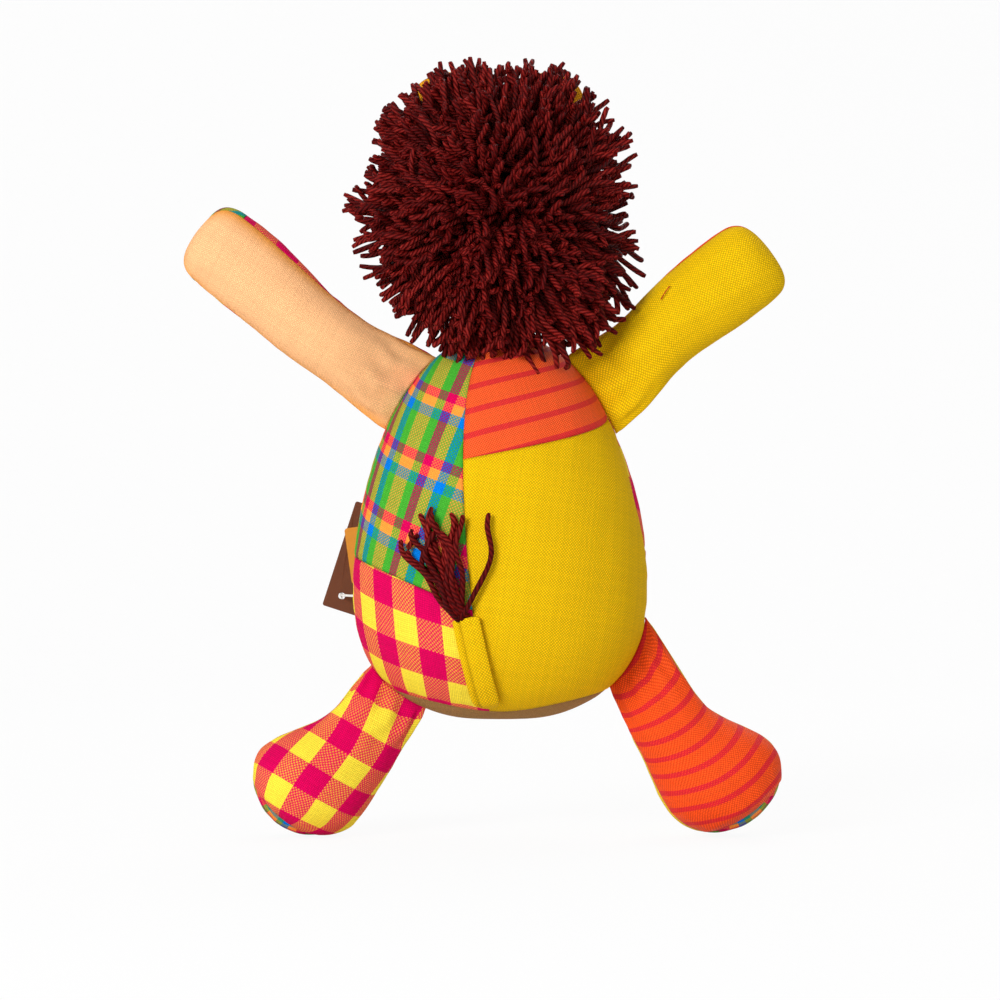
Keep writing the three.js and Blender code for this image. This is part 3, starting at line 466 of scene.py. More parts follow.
def painted_light_and_shade_group():
    """Paints light and shade into a cloth colour: raised threads painted lighter and sunken ones
    deeper, its unevenness, and painted shade in the hollow of its seams.
    """

    def build(t, given):
        # Painted light and shade: raised threads lighter, the threads beneath darker.
        lit = t.fit(t.math("SUBTRACT", given["Height"], 0.52), given["Depth"], 1.0)
        lit = t.times(lit, t.fit(given["Tone"], 0.34, 0.83))
        # Painted shade: the colour darkens near a seam, where its hollow falls in shade.
        lit = t.times(lit, t.fit(given["Seam"], -0.1, 1.0))
        return (t.add("HueSaturation", Color=given["Colour"], Value=lit).outputs[0],)

    inputs = {"Colour": "Color", "Height": 0.5, "Tone": 0.5, "Seam": 0.0, "Depth": 0.4}
    return shader_group("Cloth shading", inputs, {"Colour": "Color"}, build)


def yarn_group():
    """Plies twisted round one another, and the fuzz that lies along them."""

    def build(t, given):
        across, along = t.split(given["Strand"])[:2]
        turns = t.fit(across, given["Plies"], t.times(along, given["Twist"]))
        ply = t.math("ABSOLUTE", t.math("SINE", t.times(turns, math.pi)))
        lie = t.add("CombineXYZ", X=t.times(turns, 7.0), Y=t.times(along, 26.0)).outputs[0]
        return ply, t.grain(lie, 2.0, 2.0, "2D")[0]

    inputs = {"Strand": "Vector", "Plies": 3.0, "Twist": 8.0}
    return shader_group("Twisted yarn", inputs, {"Height": "Float", "Fuzz": "Float"}, build)


# Materials


def shade(colour, share):
    return tuple(min(v * share, 1) for v in colour)


def surfaced(name, build):
    """A material, made once: build(tree) gives the inputs of its surface by name."""
    if name in bpy.data.materials:
        return bpy.data.materials[name]
    material = bpy.data.materials.new(name)
    material.use_nodes = True
    material.node_tree.nodes.clear()
    t = Tree(material.node_tree)
    surface = t.add("BsdfPrincipled")
    t.add("OutputMaterial", i0=surface.outputs[0])
    for key, value in build(t).items():
        t.put(surface.inputs[key], value)
    return material


def bands(t, value, widths):
    """Colours in bands of given widths along a value, over and over."""
    period = sum(width for _, width in widths)
    ramp = t.add("ValToRGB", i0=t.math("FRACT", t.math("DIVIDE", value, period)))
    ramp.color_ramp.interpolation = "CONSTANT"
    stops = ramp.color_ramp.elements
    stops.remove(stops[1])
    at = 0
    for colour, width in widths:
        stop = stops.new(at / period) if at else stops[0]
        stop.position = at / period
        stop.color = (*colour, 1)
        at += width
    return ramp.outputs[0]


def cloth_material(name, pattern, roughness=0.85, specular=0.06, coarse=1.0):
    """Woven cotton: pattern(tree, fabric, warp_over) gives its thread colours."""

    def build(t):
        fabric = t.uv("fabric")
        weave = t.group(weave_group(), Fabric=fabric, Pitch=coarse * sizes().thread / MM)
        height, tone = weave["Height"], weave["Tone"]
        colour = pattern(t, fabric, weave["Warp over"])
        seam = t.attribute("seam")
        shaded = t.group(
            painted_light_and_shade_group(), Colour=colour, Height=height, Tone=tone, Seam=seam, Depth=0.5
        )
        return {
            "Base Color": shaded[0],
            "Normal": t.raised(height, 0.5, 0.0003),
            "Roughness": t.fit(tone, 0.12, roughness - 0.06),
            "Specular IOR Level": specular,
        }

    return surfaced(name, build)


def plain_cloth(name):
    """One thread colour, painted as a lit copy on the warp and a deeper shaded copy on the weft."""
    colour = getattr(colours(), name)
    lit_threads, shaded_threads = shade(colour, 1.15), shade(colour, 0.7)
    return cloth_material(name + "_cotton", lambda t, _, over: t.blend(over, shaded_threads, lit_threads))


def peach_cloth():
    """Peach twill with painted shade that deepens it to amber along its seams."""
    c = colours()
    peach, amber_edge_shade, shaded_threads = tuple(c.peach), tuple(c.amber_edge_shade), shade(c.peach, 0.88)

    def pattern(t, _, over):
        # Painted shade along the seams: the peach deepens to amber.
        seam = t.times(t.attribute("seam"), 0.85)
        return t.blend(seam, t.blend(over, shaded_threads, peach), amber_edge_shade)

    return cloth_material("peach_cotton", pattern)


def crossed_cloth(name, coarse, across, up):
    """Threads in bands both ways, as in gingham and plaid."""

    def pattern(t, fabric, over):
        place = t.split(fabric)
        warp, weft = bands(t, place[0], across), bands(t, place[1], up)
        return t.group(crossing_group(), Warp=warp, Weft=weft, Warp_over=over)[0]

    return cloth_material(name, pattern, coarse=coarse)


def gingham_cloth():
    c, square = colours(), sizes().gingham / MM
    pair = [(c.magenta, square), (c.lemon, square)]
    return crossed_cloth("gingham_cotton", 1.3, pair, pair)


def plaid_cloth():
    c = colours()
    green, gold, magenta, blue = c.green, c.gold, c.magenta, c.blue
    across = [(green, 4.1), (gold, 7.1), (green, 4.1), (magenta, 4.1), (gold, 4.6), (blue, 4.1)]
    up = [(green, 14.9), (blue, 4.7), (gold, 4.3), (magenta, 4.3)]
    return crossed_cloth("plaid_cotton", 1.2, across, up)


def striped_cloth(name, pitch, thick, pale):
    """Orange cotton with dark stripes: a shaded copy of the orange on its weft, and a lit copy on
    its warp with a painted sheen of peach mixed in.
    """
    c = colours()
    # Painted light and shade: a shaded copy of the orange for the weft, a lit copy with a painted
    # peach sheen for the warp.
    orange, stripe = shade(c.orange, 0.7), tuple(c.stripe)
    lit_sheen_warp = tuple(mix(v, w, pale) for v, w in zip(shade(c.orange, 1.3), c.peach))

    def pattern(t, fabric, over):
        ground = t.blend(over, orange, lit_sheen_warp)
        line = bands(t, t.split(fabric)[1], [((1, 1, 1), thick), ((0, 0, 0), pitch - thick)])
        return t.blend(t.times(line, t.fit(over, -0.3, 1.0)), ground, stripe)

    return cloth_material(name, pattern, roughness=0.55, specular=0.1, coarse=0.9)


def yarn_material(name="maroon_wool", root=0.25):
    """Plied wool with painted light and shade: shaded between its plies and darker towards its
    root, with a painted highlight of the fuzz colour on its ply crests towards the tip.
    """

    def build(t):
        c = colours()
        strand, tone = t.uv("strand"), t.attribute("tone")
        yarn = t.group(yarn_group(), Strand=strand, Plies=3.0, Twist=16.0)
        height, fuzz = yarn["Height"], yarn["Fuzz"]
        along = t.split(strand)[1]
        # Painted shade between the plies, and darker towards the root, deep in the mane.
        value = t.times(t.fit(height, 0.85, 0.35), t.fit(fuzz, 0.7, 0.65))
        value = t.times(value, t.fit(tone, 0.9, 0.6))
        value = t.times(value, t.fit(t.math("POWER", along, 2.0), 1.25 - root, root))
        dyed = t.add("HueSaturation", Color=tuple(c.maroon), Value=value).outputs[0]
        # Painted highlight on the ply crests, towards the tip.
        painted_highlight = t.times(t.math("POWER", height, 4.0), t.times(along, tone))
        return {
            "Base Color": t.blend(t.times(painted_highlight, 0.4), dyed, tuple(c.fuzz)),
            "Normal": t.raised(height, 0.8, 0.0005),
            "Roughness": t.fit(fuzz, 0.2, 0.45),
            "Specular IOR Level": 0.07,
        }

    return surfaced(name, build)


def grained_material(name, colour, dark, scale, depth, roughness, specular=0.3, coat=0.0):
    """Felt, fibre, bead, card or plastic: a colour broken up by grain on its own coordinates."""

    def build(t):
        place = t.add("TexCoord").outputs["Object"]
        fine, broad = t.grain(place, scale, 4.0)[0], t.grain(place, scale / 9, 2.0)[0]
        grain = t.fit(fine, 0.6, t.times(broad, 0.4))
        return {
            "Base Color": t.blend(grain, tuple(dark), tuple(colour)),
            "Normal": t.raised(fine, 0.4, depth),
            "Roughness": t.fit(grain, 0.2, roughness - 0.1),
            "Specular IOR Level": specular,
            "Coat Weight": coat,
        }

    return surfaced(name, build)


def fibre_material():
    c = colours().fibre
    return grained_material("fibre_fill", c, shade(c, 0.8), 900, 0.0006, 0.95, 0.1)


def felt_material():
    shown, dark = screen(30, 27, 27), screen(10, 9, 9)
    return grained_material("nose_felt", shown, dark, 1600, 0.0004, 0.95, 0.1)


# Torso


def egg_share(z):
    """The torso's width at a height, as a share of its widest."""
    if z > BULGE_Z:
        return math.sqrt(max(1 - ((z - BULGE_Z) / UPPER_HEIGHT) ** UPPER_POWER, 0))
    return math.sqrt(max(1 - ((BULGE_Z - z) / LOWER_HEIGHT) ** LOWER_POWER, 0))


def torso_normal(turn, z):
    slope = (egg_share(z + 0.01) - egg_share(z - 0.01)) / 0.02
    t = math.radians(turn)
    out = (math.sin(t) / TORSO_HALF_WIDTH, -math.cos(t) / TORSO_HALF_DEPTH, -slope)
    return Vector(out).normalized()


def torso_point(turn, z, proud=0.0):
    """A point on the torso, z past the collar running in to the neck."""
    t = math.radians(turn)
    inward = ease((z - COLLAR_Z) / 4)
    z = min(z, COLLAR_Z)
    across, deep = (
        mix(half * egg_share(z), NECK_RADIUS + 0.7, inward)
        for half in (TORSO_HALF_WIDTH, TORSO_HALF_DEPTH)
    )
    point = Vector((across * math.sin(t), -deep * math.cos(t), z + 0.4 * inward))
    return point + torso_normal(turn, z) * proud * (1 - inward)


def fabric_up():
    """Lengths of cloth up the torso from its bulge, by half millimetres of height."""
    table = {2 * BULGE_Z: 0.0}
    for way, end in ((1, COLLAR_Z + 5), (-1, -3)):
        total, z = 0.0, BULGE_Z
        while way * (end - z) > 0:
            after = z + 0.5 * way
            inward = 52 * (egg_share(min(after, COLLAR_Z + 4)) - egg_share(z))
            total += way * math.hypot(0.5, inward)
            z = after
            table[round(2 * z)] = total
    return table


CLOTH_UP = fabric_up()


def torso_cut(turn, z):
    """Where a point of the torso lies on its cloth: lengths round and up."""
    t = math.radians(turn)
    share = egg_share(min(z, COLLAR_Z))
    rx, ry = TORSO_HALF_WIDTH * share, TORSO_HALF_DEPTH * share
    reach = [math.hypot(rx * math.cos(a), ry * math.sin(a)) for a in (0, t / 2, t)]
    low = math.floor(2 * z)
    up = mix(CLOTH_UP[low], CLOTH_UP.get(low + 1, CLOTH_UP[low]), 2 * z - low)
    return t * (reach[0] + 4 * reach[1] + reach[2]) / 6, up


# Heights at which an arm and a leg are sewn into each side seam
LIMB_ROOTS = {-1: ((110, 149), (0, 26)), 1: ((110, 149), (4, 40))}


def seam_draw(turn, z):
    """How much a seam draws the cloth in: not at all where a limb is sewn into a side seam."""
    if abs(abs(turn) - 90) > 14:
        return 1.0
    roots = LIMB_ROOTS[-1 if turn < 0 else 1]
    return 1 - max(ease((z - low) / 5) * ease((high - z) / 5) for low, high in roots)


def seat_seam(turn):
    return mix(3.6, 11, math.sin(math.radians(turn)) ** 2)


def back_seam(z):
    return mix(-7.5, -22.5, (min(max(z, 0), COLLAR_Z) / COLLAR_Z) ** 1.3)


def turned(cut, degrees, shift=(0.0, 0.0)):
    """A cut turned on the cloth, clockwise seen from outside."""
    c, s = math.cos(math.radians(degrees)), math.sin(math.radians(degrees))
    return c * cut[0] - s * cut[1] + shift[0], s * cut[0] + c * cut[1] + shift[1]


def off_thread(cut, middle, row, column):
    """A cut on gingham a little off the thread: steps to the next square along row and column."""
    a, b = cut[0] - middle[0], cut[1] - middle[1]
    spread = row[0] * column[1] - row[1] * column[0]
    side = sizes().gingham / MM
    i = (a * column[1] - b * column[0]) / spread + 0.5
    j = (row[0] * b - row[1] * a) / spread + 0.5
    return i * side, j * side


def plaid_cut(cut):
    return turned(cut, 20.3, (61.65, -9.25))


def gingham_cut(cut):
    return off_thread(cut, (-51.2, -2.4), (11.05, -3.1), (-1.0, 12.3))


def stripe_cut(cut):
    return turned(cut, -15.5, (0.0, 2.6))


def plain_cut(cut):
    return turned(cut, 8)


def plain(name):
    """A plain cloth: its cut, its material and its slot."""
    return plain_cut, plain_cloth(name), name + "_cloth"


def gingham(cut_of=gingham_cut):
    return cut_of, gingham_cloth(), "gingham_cloth"


def plaid():
    return plaid_cut, plaid_cloth(), "plaid_cloth"


def striped(cut_of, *threads):
    return cut_of, striped_cloth(*threads), "striped_orange_cloth"


def torso_panel(name, left, right, low, high, cloth):
    """One patch of the torso, drawn in and puckered along its seams."""
    groove, pucker = seam_sizes()
    cut_of, material, slot = cloth
    to_neck = high(0) >= COLLAR_Z
    top = steady(COLLAR_Z + 4) if to_neck else high

    def place(u, v):
        z, turn = BULGE_Z, 0.0
        for _ in range(6):
            half = TORSO_HALF_DEPTH * egg_share(min(z, COLLAR_Z))
            inset = math.degrees(CLOTH_GAP / half)
            turn = mix(left(z) + inset, right(z) - inset, u)
            z = mix(low(turn) + CLOTH_GAP, top(turn) - CLOTH_GAP, v)
        cut = torso_cut(turn, z)
        around = math.radians(1) * TORSO_HALF_WIDTH * egg_share(min(z, COLLAR_Z))
        to_top = 99.0 if to_neck else abs(torso_cut(turn, high(turn))[1] - cut[1])
        sides = [
            (abs(turn - left(z)) * around, cut[1], seam_draw(left(z), z)),
            (abs(right(z) - turn) * around, cut[1], seam_draw(right(z), z)),
            (abs(cut[1] - torso_cut(turn, low(turn))[1]), cut[0], 1.0),
            (to_top, cut[0], 1.0),
        ]
        near = max(bump(d, 1.0) for d, _, _ in sides)
        drawn = max(k * (bump(d, 1.1) * 0.6 + bump(d, 5.0) * 0.4) for d, _, k in sides)
        waves = sum(
            strength * ripple((along / 5.5, 3.1 * k, d / 22), d, 7)
            for k, (d, along, strength) in enumerate(sides)
        )
        point = torso_point(turn, z)
        soft = (0.55 * lump(point, 34, 1) + 0.25 * lump(point, 13, 2)) * (1 - near)
        proud = pucker * waves + soft - groove * drawn
        return torso_point(turn, z, proud), cut_of(cut), near

    bm = cloth_grid(72, 84, place, (0, 0, 60))
    finish_piece(bm, name, material, slot, "torso", sizes().cloth)


class LION_OT_torso(bpy.types.Operator):
    """Sew the seven patches of the torso"""

    bl_idname = "lion.torso"
    bl_label = "Torso patches"

    def execute(self, context):
        def left_patch(turn):
            return 40 - 24.6 * math.sin(math.radians(turn))

        def right_patch(turn):
            return 106 + 0.167 * turn

        def right_side(z):
            return 90 - 12 * bump(z - 90, 24)

        front_patch, collar = steady(68.0), steady(COLLAR_Z)
        left_side, front_left, front_right = steady(-90), steady(-180), steady(180)
        # The last value is the share of painted sheen on the torso's stripes.
        stripes = striped(stripe_cut, "striped_cotton", sizes().torso_stripe / MM, 2.5, 0.13)
        for patch in (
            ("back_left_upper", left_side, back_seam, left_patch, collar, plaid()),
            ("back_left_lower", left_side, back_seam, seat_seam, left_patch, gingham()),
            ("back_right_upper", back_seam, right_side, right_patch, collar, stripes),
            ("back_right_lower", back_seam, right_side, seat_seam, right_patch, plain("mustard")),
            ("front_left", front_left, left_side, seat_seam, collar, plaid()),
            ("front_right_upper", right_side, front_right, front_patch, collar, gingham()),
            ("front_right_lower", right_side, front_right, seat_seam, front_patch, plain("rust")),
        ):
            torso_panel("torso_" + patch[0], *patch[1:])
        return {"FINISHED"}


class LION_OT_seat(bpy.types.Operator):
    """Sew the flat tan seat into the bottom of the torso"""

    bl_idname = "lion.seat"
    bl_label = "Seat"

    def execute(self, context):
        groove, pucker = seam_sizes()

        def place(u, v):
            x, y, share = disc(u, v)
            turn = math.degrees(math.atan2(x, -y))
            edge = torso_point(turn, seat_seam(turn) - SEAM_GAP / 2)
            rise = max(0, (share - 0.25) / 0.75)
            d = (1 - share) * edge.to_2d().length
            waves = ripple((turn / 7, d / 15, 4.2), d, 8)
            waves += 0.4 * lump((x * 50, y * 50, 0), 16, 3) * rise
            lift = max(groove * bump(d, 2.2) + pucker * waves, 0)
            point = Vector((edge.x * share, edge.y * share, edge.z * rise * rise + lift))
            return point, plain_cut((x * 45, y * 40)), bump(d, 2.0)

        bm = cloth_grid(64, 64, place, (0, 0, 60))
        tan = plain_cloth("tan")
        finish_piece(bm, "base_panel", tan, "tan_cloth", "torso", sizes().cloth)
        return {"FINISHED"}


# Head and face


def head_point(angle, turn, side, inset=0.0):
    half = HEAD_HALF - Vector((inset, inset, inset))
    out = math.sin(angle)
    deep = side * (half.y * math.cos(angle) + SEAM_GAP / 2)
    return HEAD + Vector((half.x * out * math.cos(turn), deep, half.z * out * math.sin(turn)))


def clear_of_neck(point, room):
    """Dents the head round the plug of the neck."""
    away = point - NECK_PIVOT
    if away.length >= NECK_RADIUS + room:
        return point
    return NECK_PIVOT + away.normalized() * (NECK_RADIUS + room)


def head_dome(name, side, material):
    groove, pucker = seam_sizes()

    def place(u, v):
        x, y, share = disc(u, v)
        angle, turn = share * math.pi / 2, math.atan2(y, x)
        d = (1 - share) * math.pi / 2 * HEAD_HALF.z
        base = head_point(angle, turn, side)
        waves = pucker * ripple((turn * 8, d / 20, 5 + side), d, 7)
        inset = groove * bump(d, 1.8) - waves - 0.5 * lump(base, 26, 4) * (1 - bump(d, 3))
        point = clear_of_neck(head_point(angle, turn, side, inset), 1.2)
        cut = (share * 64 * math.cos(turn), share * 64 * math.sin(turn))
        return point, plain_cut(cut), bump(d, 1.8)

    bm = cloth_grid(64, 64, place, HEAD)
    finish_piece(bm, name, material, "golden_cloth", "head", sizes().cloth)


def face_y(x, z):
    across, up = (x - HEAD.x) / HEAD_HALF.x, (z - HEAD.z) / HEAD_HALF.z
    dome = math.sqrt(max(1 - across * across - up * up, 0))
    return HEAD.y + SEAM_GAP / 2 + HEAD_HALF.y * dome


def muzzle_y(x, z):
    across, up = (x - HEAD.x) / MUZZLE_HALF[0], (z - HEAD.z + MUZZLE_DROP) / MUZZLE_HALF[1]
    dome = math.sqrt(max(0, 1 - across * across - up * up))
    return face_y(x, z) + SEAM_GAP + 0.8 + MUZZLE_BULGE * dome


def face_pad(name, middle, half, bulge, seat, material, slot, crease=0.0):
    """A pad on the face: domed outside, and following what it sits on inside."""

    def place(d):
        x, z = HEAD.x + middle[0] + half[0] * d.x, HEAD.z + middle[1] + half[1] * d.z
        share = min(math.hypot(d.x, d.z), 1)
        y = seat(x, z) + SEAM_GAP
        if d.y > 0:
            fold = crease * bump(d.x, 0.13) * (1 - bump(d.z + 1, 0.3))
            y += 0.8 + bulge * math.sqrt(1 - share * share) - fold
        else:
            y += 0.4 * share
        return Vector((x, y, z)), (half[0] * d.x, half[1] * d.z), bump(1 - share, 0.1)

    finish_piece(ball(40, 28, place), name, material, slot, "head")


def mouth_stitch():
    """A stitched mouth under the nose: one line down, then one to each side."""

    def on_muzzle(x, z):
        y = muzzle_y(HEAD.x + x, HEAD.z + z) + 0.25 - 1.2 * bump(x / MUZZLE_HALF[0], 0.13)
        return Vector((HEAD.x + x, y, HEAD.z + z))

    def down(t):
        return on_muzzle(0, mix(-11.2, -16, t))

    def smile(side):
        return lambda t: on_muzzle(side * 8 * t, -16 - 3.4 * math.sin(math.pi * t * 0.62))

    lines = [(line, steady(0.55), 0.2) for line in (down, smile(-1), smile(1))]
    felt = felt_material()
    strand_piece("mouth_stitch", 8, 16, lines, felt, "black_felt", "head", trim=True)


class LION_OT_head(bpy.types.Operator):
    """Sew the head, its neck and the face"""

    bl_idname = "lion.head"
    bl_label = "Head and face"

    def execute(self, context):
        golden, felt = plain_cloth("golden"), felt_material()
        head_dome("head_back_panel", -1, golden)
        head_dome("head_face_panel", 1, golden)
        shown, dark = screen(26, 22, 20), screen(8, 7, 7)
        bead = grained_material("glass_bead", shown, dark, 300, 0.00002, 0.22, 0.5, 0.6)
        face_pad(
            "muzzle", (0, -MUZZLE_DROP), MUZZLE_HALF, MUZZLE_BULGE, face_y, peach_cloth(),
            "peach_cloth", 1.3,
        )
        face_pad("nose", (0, -7), (6.5, 4.2), 3, muzzle_y, felt, "black_felt")
        for name, side in (("eye_left", -1), ("eye_right", 1)):
            face_pad(name, (15 * side, 6), (3.6, 3.6), 2.6, face_y, bead, "eye_bead")

        def neck(d):
            gather = 1 + 0.03 * math.sin(math.atan2(d.y, d.x) * 18) * (1 - d.z * d.z)
            z = max(NECK_RADIUS * d.z, COLLAR_Z + SEAM_GAP + 0.25 - NECK_PIVOT.z)
            out = math.sqrt(max(1 - (z / NECK_RADIUS) ** 2, 0)) * NECK_RADIUS * 0.985 * gather
            if z > NECK_RADIUS * d.z:
                out *= ease((d.z + 1) / (1 + z / NECK_RADIUS))
            flat = round_way(d) * out
            # The seam value 0.3 paints the whole neck a little darker, painted shade where it sits
            # between head and torso.
            return NECK_PIVOT + Vector((flat.x, flat.y, z)), (d.x * 12, d.z * 12), 0.3

        bm = ball(72, 24, neck)
        finish_piece(bm, "neck_stuffing", golden, "stuffing", "neck")
        mouth_stitch()
        return {"FINISHED"}


class LION_OT_ears(bpy.types.Operator):
    """Stuff the two golden ears"""

    bl_idname = "lion.ears"
    bl_label = "Ears"

    def execute(self, context):
        golden = plain_cloth("golden")
        a = math.radians(EAR_ANGLE)
        for name, body, side in (("ear_left", "left_ear", -1), ("ear_right", "right_ear", 1)):
            axis = Vector((side * math.cos(a), 0, math.sin(a)))
            reach = 1 / math.hypot(axis.x / HEAD_HALF.x, axis.z / HEAD_HALF.z)
            root = HEAD + axis * (reach + 0.4)
            across = FRONT.cross(axis) * -side

            def place(d):
                s = EAR_REACH * (1 - max(min(d.z, 1), -1)) / 2
                tip = max(0, s - EAR_BASE) / (EAR_REACH - EAR_BASE)
                wide = through([(0, 11), (EAR_BASE, 12.6), (EAR_REACH, 12.6)], s)
                wide *= (1 - tip ** 2.6) ** (1 / 2.6)
                deep = through([(0, 1.2), (EAR_BASE, 3.2), (EAR_REACH, 3.0)], s)
                deep *= math.sqrt(max(1 - tip * tip, 0))
                flat = round_way(d)
                end = min(1, s / 0.35)
                cup = 1.2 * (flat.x * flat.x) * ease(s / 10)
                point = root + axis * s + across * wide * flat.x * end
                point += FRONT * (deep * flat.y * end - cup)
                return point, (flat.x * wide, s), bump(1 - abs(flat.x), 0.12)

            bm = ball(48, 36, place)
            finish_piece(bm, name, golden, "golden_cloth", body)
        return {"FINISHED"}


# Yarn


def strand_template(sides, steps):
    """One straight strand as a mesh: a closed tube whose UV map runs round and along it."""
    bm = bmesh.new()
    bmesh.ops.create_cone(
        bm, cap_ends=True, cap_tris=False, segments=sides, radius1=1, radius2=1, depth=1
    )
    long_edges = [e for e in bm.edges if abs(e.verts[0].co.z - e.verts[1].co.z) > 0.5]
    bmesh.ops.subdivide_edges(bm, edges=long_edges, cuts=steps - 1)
    for v in bm.verts:
        v.co.z = 0.5 - (0.5 - v.co.z) ** 1.5
    uv = bm.loops.layers.uv.new("strand")
    for face in bm.faces:
        face.smooth = True
        turns = [math.atan2(l.vert.co.y, l.vert.co.x) / math.tau % 1 for l in face.loops]
        wraps = max(turns) - min(turns) > 0.5
        for loop, turn in zip(face.loops, turns):
            loop[uv].uv = (turn + 1 if wraps and turn < 0.5 else turn, loop.vert.co.z + 0.5)
    mesh = bpy.data.meshes.new("strand")
    bm.to_mesh(mesh)
    bm.free()
    return mesh


def strand_layers(bm):
    bm.loops.layers.uv.new("strand")
    return bm.verts.layers.float.new("tone")


def add_strand(bm, tone_layer, template, path, radius, tone):
    """Adds one strand along path(t), with radius(t), both in millimetres."""
    count = len(template.vertices)
    bm.from_mesh(template)
    bm.verts.ensure_lookup_table()
    frames = {}
    side = Vector((0.31, 0.22, 0.93))
    for v in bm.verts[-count:]:
        t = round(v.co.z + 0.5, 4)
        if t not in frames:
            along = (path(min(t + 0.01, 1)) - path(max(t - 0.01, 0))).normalized()
            first = along.cross(side).normalized()
            frames[t] = (path(t), first, along.cross(first), radius(t))
        middle, first, second, wide = frames[t]
        v.co = (middle + (first * v.co.x + second * v.co.y) * wide) * MM
        v[tone_layer] = tone


def strand_piece(name, sides, steps, strands, material, slot, body, trim=False):
    """A piece of a few strands, each a path, a radius and a tone."""
    bm = bmesh.new()
    layer = strand_layers(bm)
    template = strand_template(sides, steps)
    for strand in strands:
        add_strand(bm, layer, template, *strand)
    bpy.data.meshes.remove(template)
    finish_piece(bm, name, material, slot, body, trim=trim)


def bent(a, b, c, d):
    """A smooth curve through four pulls, for t from 0 to 1."""

    def at(t):
        s = 1 - t
        return a * s**3 + b * 3 * s * s * t + c * 3 * s * t * t + d * t**3

    return at


def mane_way(angle, turn):
    """The way out of the mane at an angle from straight back, turned about it."""
    out = math.sin(angle)
    return Vector((math.cos(turn) * out, -math.cos(angle), math.sin(turn) * out))


# How far the mane's edge stands out, by degrees round it from its right side
MANE_EDGE = [
    (0, 57.5), (12, 55), (32, 61), (43, 64), (57, 63), (70, 65), (85, 62), (106, 62), (120, 62.5),
    (138, 62), (155, 55), (170, 58.5), (185, 61.5), (205, 58), (223, 56), (236, 58), (250, 58.5),
    (268, 58), (283, 65), (297, 69), (317, 67), (342, 61), (360, 57.5),
]
# Where the rim of the mane is fuller: from and to these degrees, and how many strands are added
MANE_FULLER = ((98, 140, 210), (110, 126, 60), (45, 82, 90), (225, 315, 160))
MANE_QUARTERS = ("upper_right", "upper_left", "lower_left", "lower_right")
GOLDEN_ANGLE = 2.399963


def mane_rim(turn):
    drop = max(0, -math.sin(turn))
    return math.radians(88 - 24 * drop * drop)


def mane_starts(chance):
    """Where each strand of the mane starts: its turn, and its angle from straight back."""
    count = sizes().mane_strands
    for k in range(count):
        turn = (k * GOLDEN_ANGLE + chance.uniform(-0.05, 0.05)) % math.tau
        yield turn, math.acos(1 - (k + 0.5) / count * (1 - math.cos(mane_rim(turn))))
    for low, high, extra in MANE_FULLER:
        for _ in range(extra):
            turn = math.radians(chance.uniform(low, high))
            yield turn, mane_rim(turn) * chance.uniform(0.84, 1)


def mane_strand(chance, turn, angle, short):
    """One strand of the mane, in locks, ragged, curled and hooked: its path, radius and tone."""
    s = sizes()
    rim = angle / mane_rim(turn)
    lock = [lump(mane_way(angle, turn), 0.42, seed) for seed in (11, 12, 13)]
    lean = angle + 0.3 * lock[0] + chance.uniform(-0.16, 0.16)
    swing = turn + (0.4 * lock[1] + chance.uniform(-0.18, 0.18)) / max(math.sin(angle), 0.3)
    lean = min(lean, mane_rim(turn) + 0.06)
    out, away = mane_way(lean, swing), mane_way(lean + math.pi / 2, swing)
    edge = through(MANE_EDGE, math.degrees(swing) % 360) / math.sin(mane_rim(swing))
    reach = mix(s.mane_reach / MM + 5 * lock[2], edge, rim**3)
    reach += s.mane_ragged / MM * (chance.random() ** 1.5 * 1.35 - 0.84)
    if short:
        reach *= chance.uniform(0.72, 0.88)
    tip = MANE_MIDDLE + out * reach
    root = head_point(0.12 + angle * 0.42, turn, -1, -1.2)
    stray = Vector([chance.uniform(-1, 1) for _ in range(3)])
    flop = math.radians(mix(50, 0, rim) + chance.uniform(-28, 28))
    fall = (out * math.cos(flop) + away * math.sin(flop) + stray * 0.4).normalized()
    near = root + (root - HEAD).normalized() * mix(20, 14, rim) + stray * 2
    curl = stray.cross(fall).normalized() * chance.uniform(0.8, 3.0)
    hook = fall.cross(curl).normalized() * chance.uniform(-7, 7)
    phase, waves = chance.uniform(0, math.tau), chance.uniform(5, 10)
    line = bent(root, near, tip - fall * chance.uniform(11, 18), tip)
    size = s.yarn / MM / 2 * chance.uniform(0.9, 1.1)

    def path(t):
        wave = curl * (t * math.sin(waves * t + phase))
        return line(t) + wave + hook * max(0, (t - 0.6) / 0.4) ** 2

    def radius(t):
        return size * (1 - 0.3 * (1 - t) ** 3 - 0.25 * max(0, (t - 0.95) / 0.05) ** 2)

    # Painted shade: the tone is a random share, lowered towards the mane's deep middle.
    return path, radius, chance.random() * mix(0.3, 1, rim)


